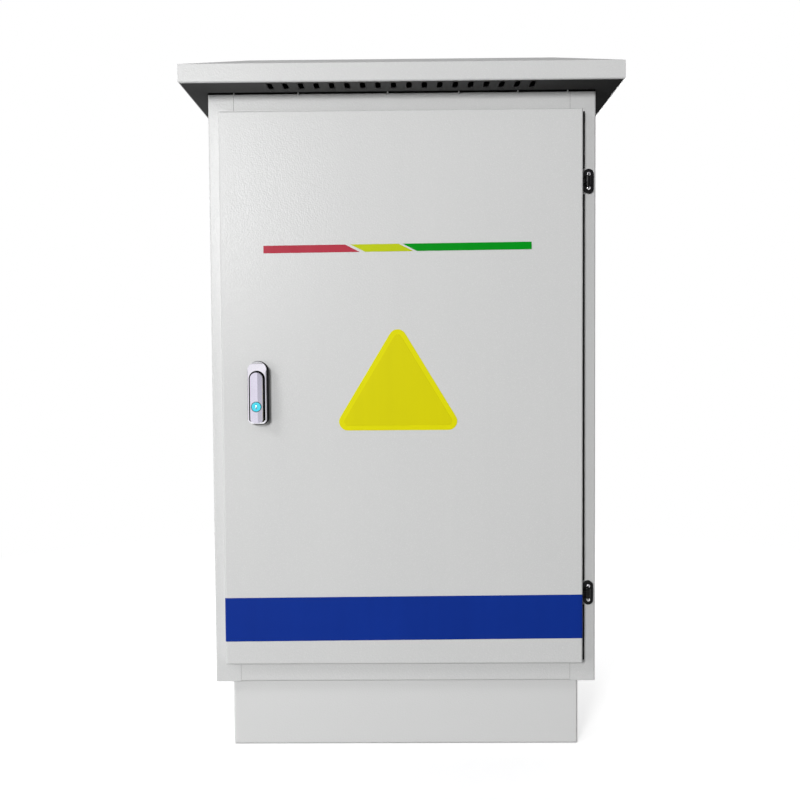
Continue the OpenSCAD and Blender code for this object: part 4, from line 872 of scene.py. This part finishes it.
def powerInlet():
    bm = bmesh.new()
    rectangle(bm, (0, 0, -inlet["deep"]), inlet["size"])
    extrudeFaces(bm, bm.faces[:], (0, 0, inlet["long"]))
    roundOff(bm, bm.edges[:], inlet["soften"], 1, "EDGES")
    bmesh.ops.recalc_face_normals(bm, faces=bm.faces)
    front = topFace(bm)
    bmesh.ops.inset_region(bm, faces=[front], thickness=inlet["wall"])
    roundOff(bm, [v for v in front.verts if v.co.y > 0], inlet["corner"], 1)
    front = max((f for f in bm.faces if f.normal.z > 0.9), key=lambda f: f.calc_area())
    extrudeFaces(bm, [front], (0, 0, -inlet["hole"]))
    shell, blades = bmesh.new(), bmesh.new()
    place = Vector((cardX(cards["power"]), cardFace, rackMiddle - inlet["down"]))
    stamp(shell, asTemplate(bm), place)
    blade = asTemplate(pad(inlet["blade"], inlet["root"], inlet["tip"], 0.0003))
    for dx, dz in inlet["blades"]:
        stamp(blades, blade, place + Vector((dx, 0, dz)))
    finishPiece("powerInlet", shell, "inletBlack", "cabinet")
    finishPiece("inletBlades", blades, "brightScrew", "cabinet")


blank = {"up": 0.100, "size": (0.0488, 0.0208), "corner": 0.0018, "thick": 0.0008}


def blankPlate():
    bm = bmesh.new()
    rectangle(bm, (0, 0, 0), blank["size"])
    roundOff(bm, bm.verts[:], blank["corner"], 5)
    extrudeFaces(bm, bm.faces[:], (0, 0, blank["thick"]))
    plate, bm = asTemplate(bm), bmesh.new()
    stamp(bm, plate, (cardX(cards["manual"]), cardFace + rack["pocket"], rackMiddle + blank["up"]))
    finishPiece("blankPlate", bm, "markerWhite", "cabinet")


cardScrews()
cardLenses()
displayPane()
jackSockets()
plugConnectors()
powerInlet()
blankPlate()
print("controller fronts")


# Rail devices: terminal screws, blank markers, end stops and the earth bar's screws

poleX = [-0.209, -0.191, -0.1568, -0.1388, -0.1208]
breakerLow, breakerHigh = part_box("main_breaker")
breakerScrew = {"radius": 0.0029, "height": 0.0024, "inset": 0.008, "y": 0.1400}


def poleScrews():
    bm = bmesh.new()
    head = crossHead(breakerScrew["radius"], breakerScrew["height"])
    for i, x in enumerate(poleX):
        for z in (breakerLow.z + breakerScrew["inset"], breakerHigh.z - breakerScrew["inset"]):
            stamp(bm, head, (x, breakerScrew["y"], z), turn=0.9 * i + z)
    finishPiece("poleScrews", bm, "brightScrew", "cabinet", smooth=True)


terminals = {"count": 60, "pitch": 0.0062, "off": 0.0165, "sunk": 0.0155, "screw": (0.0017, 0.0012),
             "marker": (0.0046, 0.0090), "thick": 0.0006}
rowLow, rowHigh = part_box("terminal_row")


def terminalParts():
    screws, markers = bmesh.new(), bmesh.new()
    head = slotHead(*terminals["screw"])
    marker = asTemplate(pad(terminals["marker"], 0, terminals["thick"], 0.0002, 1))
    middle = (rowLow + rowHigh) / 2
    for i in range(terminals["count"]):
        x = middle.x + (i - (terminals["count"] - 1) / 2) * terminals["pitch"]
        for side in (-1, 1):
            place = (x, rowLow.y + terminals["sunk"], middle.z + side * terminals["off"])
            stamp(screws, head, place, turn=0.7 * i + side)
        stamp(markers, marker, (x, rowLow.y, middle.z))
    finishPiece("terminalScrews", screws, "brightScrew", "cabinet")
    finishPiece("terminalMarkers", markers, "markerWhite", "cabinet")


stop = {"gap": 0.0004, "width": 0.009, "height": 0.044, "depth": 0.030, "behind": 0.005, "soften": 0.0012,
        "nose": 0.004, "noseSize": (0.007, 0.014), "screw": (0.0026, 0.0018), "screwUp": 0.0145}


def endStops():
    bm, screws = bmesh.new(), bmesh.new()
    head = slotHead(*stop["screw"])
    z = (rowLow.z + rowHigh.z) / 2
    back = rowHigh.y - stop["behind"]
    front = back - stop["depth"]
    for side in (-1, 1):
        edge = rowLow.x if side < 0 else rowHigh.x
        x = edge + side * (stop["gap"] + stop["width"] / 2)
        part = slab(x, z, (stop["width"], stop["height"]), front, back, stop["soften"])
        nose = slab(x, z, stop["noseSize"], front - stop["nose"], front + 0.002, 0.0010)
        bm.from_mesh(asTemplate(part))
        bm.from_mesh(asTemplate(nose))
        for up in (-1, 1):
            stamp(screws, head, (x, front + 0.0002, z + up * stop["screwUp"]), turn=side + up)
    finishPiece("endStops", bm, "terminalGrey", "cabinet")
    finishPiece("endStopScrews", screws, "brightScrew", "cabinet", smooth=True)


earthScrew = {"count": 10, "pitch": 0.022, "radius": 0.0044, "height": 0.0032, "washer": 0.0010}
barLow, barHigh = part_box("earth_bar")


def earthScrews():
    bm = bmesh.new()
    r, thick, count = earthScrew["radius"], earthScrew["washer"], earthScrew["count"]
    head = crossHead(r, earthScrew["height"])
    washer = asTemplate(turned([(r * 0.3, thick), (r * 1.25, thick), (r * 1.32, 0.8 * thick),
                                (r * 1.32, 0)]))
    for i in range(count):
        place = Vector(((i - (count - 1) / 2) * earthScrew["pitch"], barLow.y, (barLow.z + barHigh.z) / 2))
        stamp(bm, washer, place)
        stamp(bm, head, place - Vector((0, thick, 0)), turn=1.3 * i)
    finishPiece("earthScrews", bm, "brightScrew", "cabinet", smooth=True)


fanScrew = {"radius": 0.0040, "height": 0.0022, "inset": 0.0075}


def fanScrews():
    bm = bmesh.new()
    head = crossHead(fanScrew["radius"], fanScrew["height"])
    low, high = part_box("fan_frame")
    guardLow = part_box("fan_guard")[0].z
    middle = (low + high) / 2
    reach = (high.x - low.x) / 2 - fanScrew["inset"]
    for x in (-1, 1):
        for y in (-1, 1):
            stamp(bm, head, (middle.x + x * reach, middle.y + y * reach, guardLow), (0, 0, -1), x + 2 * y)
    finishPiece("fanScrews", bm, "brightScrew", "cabinet", smooth=True)


poleScrews()
terminalParts()
endStops()
earthScrews()
fanScrews()
print("rail devices")


# Lights, floor and camera

ground = {"size": 14, "pale": (0.93, 0.93, 0.93), "bounce": (0.08, 0.08, 0.08), "lift": 0.47, "near": 0.8,
          "far": 2.0}


def makeFloor():
    bm = bmesh.new()
    bmesh.ops.create_grid(bm, x_segments=8, y_segments=8, size=ground["size"] / 2)
    mesh = bpy.data.meshes.new("floor")
    bm.to_mesh(mesh)
    bm.free()
    floor = bpy.data.objects.new("floor", mesh)
    scene.collection.objects.link(floor)
    material = bpy.data.materials.new("floorPale")
    material.use_nodes = True
    tree = material.node_tree
    tree.nodes.remove(tree.nodes["Principled BSDF"])
    seen = addNode(tree, "BsdfDiffuse", {"Color": (*ground["pale"], 1)})
    lift = addNode(tree, "Emission", {"Strength": ground["lift"]})
    white = addNode(tree, "Emission", {"Strength": 1})
    near = addNode(tree, "AddShader")
    place = addNode(tree, "TexCoord")
    reach = addNode(tree, "VectorMath", operation="LENGTH")
    away = addNode(tree, "MapRange", {"From Min": ground["near"], "From Max": ground["far"]})
    shown = addNode(tree, "MixShader")
    unseen = addNode(tree, "BsdfDiffuse", {"Color": (*ground["bounce"], 1)})
    rays = addNode(tree, "LightPath")
    direct = addNode(tree, "Math", operation="MAXIMUM")
    mix = addNode(tree, "MixShader")
    wire(tree, (seen.outputs[0], near.inputs[0]), (lift.outputs[0], near.inputs[1]),
         (place.outputs["Object"], reach.inputs[0]), (reach.outputs["Value"], away.inputs["Value"]),
         (away.outputs["Result"], shown.inputs[0]), (near.outputs[0], shown.inputs[1]),
         (white.outputs[0], shown.inputs[2]), (rays.outputs["Is Camera Ray"], direct.inputs[0]),
         (rays.outputs["Is Glossy Ray"], direct.inputs[1]), (direct.outputs[0], mix.inputs[0]),
         (unseen.outputs[0], mix.inputs[1]), (shown.outputs[0], mix.inputs[2]),
         (mix.outputs[0], tree.nodes["Material Output"].inputs["Surface"]))
    mesh.materials.append(material)


studio = {"low": 0.30, "high": 0.14, "behind": 0.8, "left": (0.98, 0.95, 1.0), "right": (0.50, 0.49, 0.54)}


def makeWorld():  # diffuse light dimmer overhead and fuller from behind, reflections paler on the left
    world = bpy.data.worlds.new("studio")
    scene.world = world
    world.use_nodes = True
    tree = world.node_tree
    place = addNode(tree, "TexCoord")
    axes = addNode(tree, "SeparateXYZ")
    height = addNode(tree, "MapRange", {"From Max": 0.9, "To Min": studio["low"], "To Max": studio["high"]})
    side = addNode(tree, "MapRange", {"From Min": -0.1, "From Max": 0.45})
    depth = addNode(tree, "MapRange", {"From Min": -0.05, "From Max": 0.4, "To Max": studio["behind"]})
    fuller = addNode(tree, "Math", operation="MAXIMUM")
    diffuse = tree.nodes["Background"]
    diffuse.inputs["Color"].default_value = (1, 1, 1, 1)
    mirrored = addNode(tree, "Background", {"Strength": 1})
    white = addNode(tree, "Background", {"Color": (1, 1, 1, 1), "Strength": 1})
    rays = addNode(tree, "LightPath")
    gloss = addNode(tree, "MixShader")
    mix = addNode(tree, "MixShader")
    wire(tree, (place.outputs["Generated"], axes.inputs[0]), (axes.outputs["Z"], height.inputs["Value"]),
         (axes.outputs["X"], side.inputs["Value"]), (axes.outputs["Y"], depth.inputs["Value"]),
         (height.outputs["Result"], fuller.inputs[0]), (depth.outputs["Result"], fuller.inputs[1]),
         (fuller.outputs[0], diffuse.inputs["Strength"]),
         (mixColor(tree, side.outputs["Result"], studio["left"], studio["right"]), mirrored.inputs["Color"]),
         (rays.outputs["Is Glossy Ray"], gloss.inputs[0]), (diffuse.outputs[0], gloss.inputs[1]),
         (mirrored.outputs[0], gloss.inputs[2]), (rays.outputs["Is Camera Ray"], mix.inputs[0]),
         (gloss.outputs[0], mix.inputs[1]), (white.outputs[0], mix.inputs[2]),
         (mix.outputs[0], tree.nodes["World Output"].inputs["Surface"]))


unlit = ("lock_housing", "lock_lever")  # keeps the front lamps' own mirror images off the chrome
lamps = {
    "key": {"place": (-2.3, -7.0, 2.15), "size": 1.3, "power": 340, "aim": (0, 0, 0.6)},
    "window": {"place": (-2.7, -2.5, 2.5), "size": 0.8, "power": 27, "aim": (0, 0, 0.9)},
    "low": {"place": (-1.7, -1.9, 0.12), "size": 0.7, "power": 12.5, "aim": (0, 0, 0.2)},
    "rear": {"place": (0.9, 4.6, 1.9), "size": 2.2, "power": 90, "aim": (0, 0, 0.5)},
}


def makeLamps():
    for name, lamp in lamps.items():
        data = bpy.data.lights.new(name, "AREA")
        data.size = lamp["size"]
        data.energy = lamp["power"]
        lampObject = bpy.data.objects.new(name, data)
        scene.collection.objects.link(lampObject)
        lampObject.location = lamp["place"]
        lampObject.visible_camera = False
        if name != "rear":
            skipped = bpy.data.collections.new(name + "Skips")
            for node in unlit:
                skipped.objects.link(cadNodes[node])
            for entry in skipped.collection_objects:
                entry.light_linking.link_state = "EXCLUDE"
            lampObject.light_linking.receiver_collection = skipped
        aim = Vector(lamp["aim"]) - Vector(lamp["place"])
        lampObject.rotation_euler = aim.to_track_quat("-Z", "Y").to_euler()


view = {"x": 0.0102, "y": -1.8354, "z": 0.6688, "down": 2.35, "yaw": 0.556, "roll": 0.39, "lens": 42.75}


def makeCamera():
    data = bpy.data.cameras.new("camera")
    data.lens = view["lens"]
    data.sensor_width = 36
    camera = bpy.data.objects.new("camera", data)
    scene.collection.objects.link(camera)
    camera.location = (view["x"], view["y"], view["z"])
    camera.rotation_euler = [math.radians(angle) for angle in (90 - view["down"], view["roll"], view["yaw"])]
    scene.camera = camera


makeFloor()
makeWorld()
makeLamps()
makeCamera()
print("floor, lamps and camera")
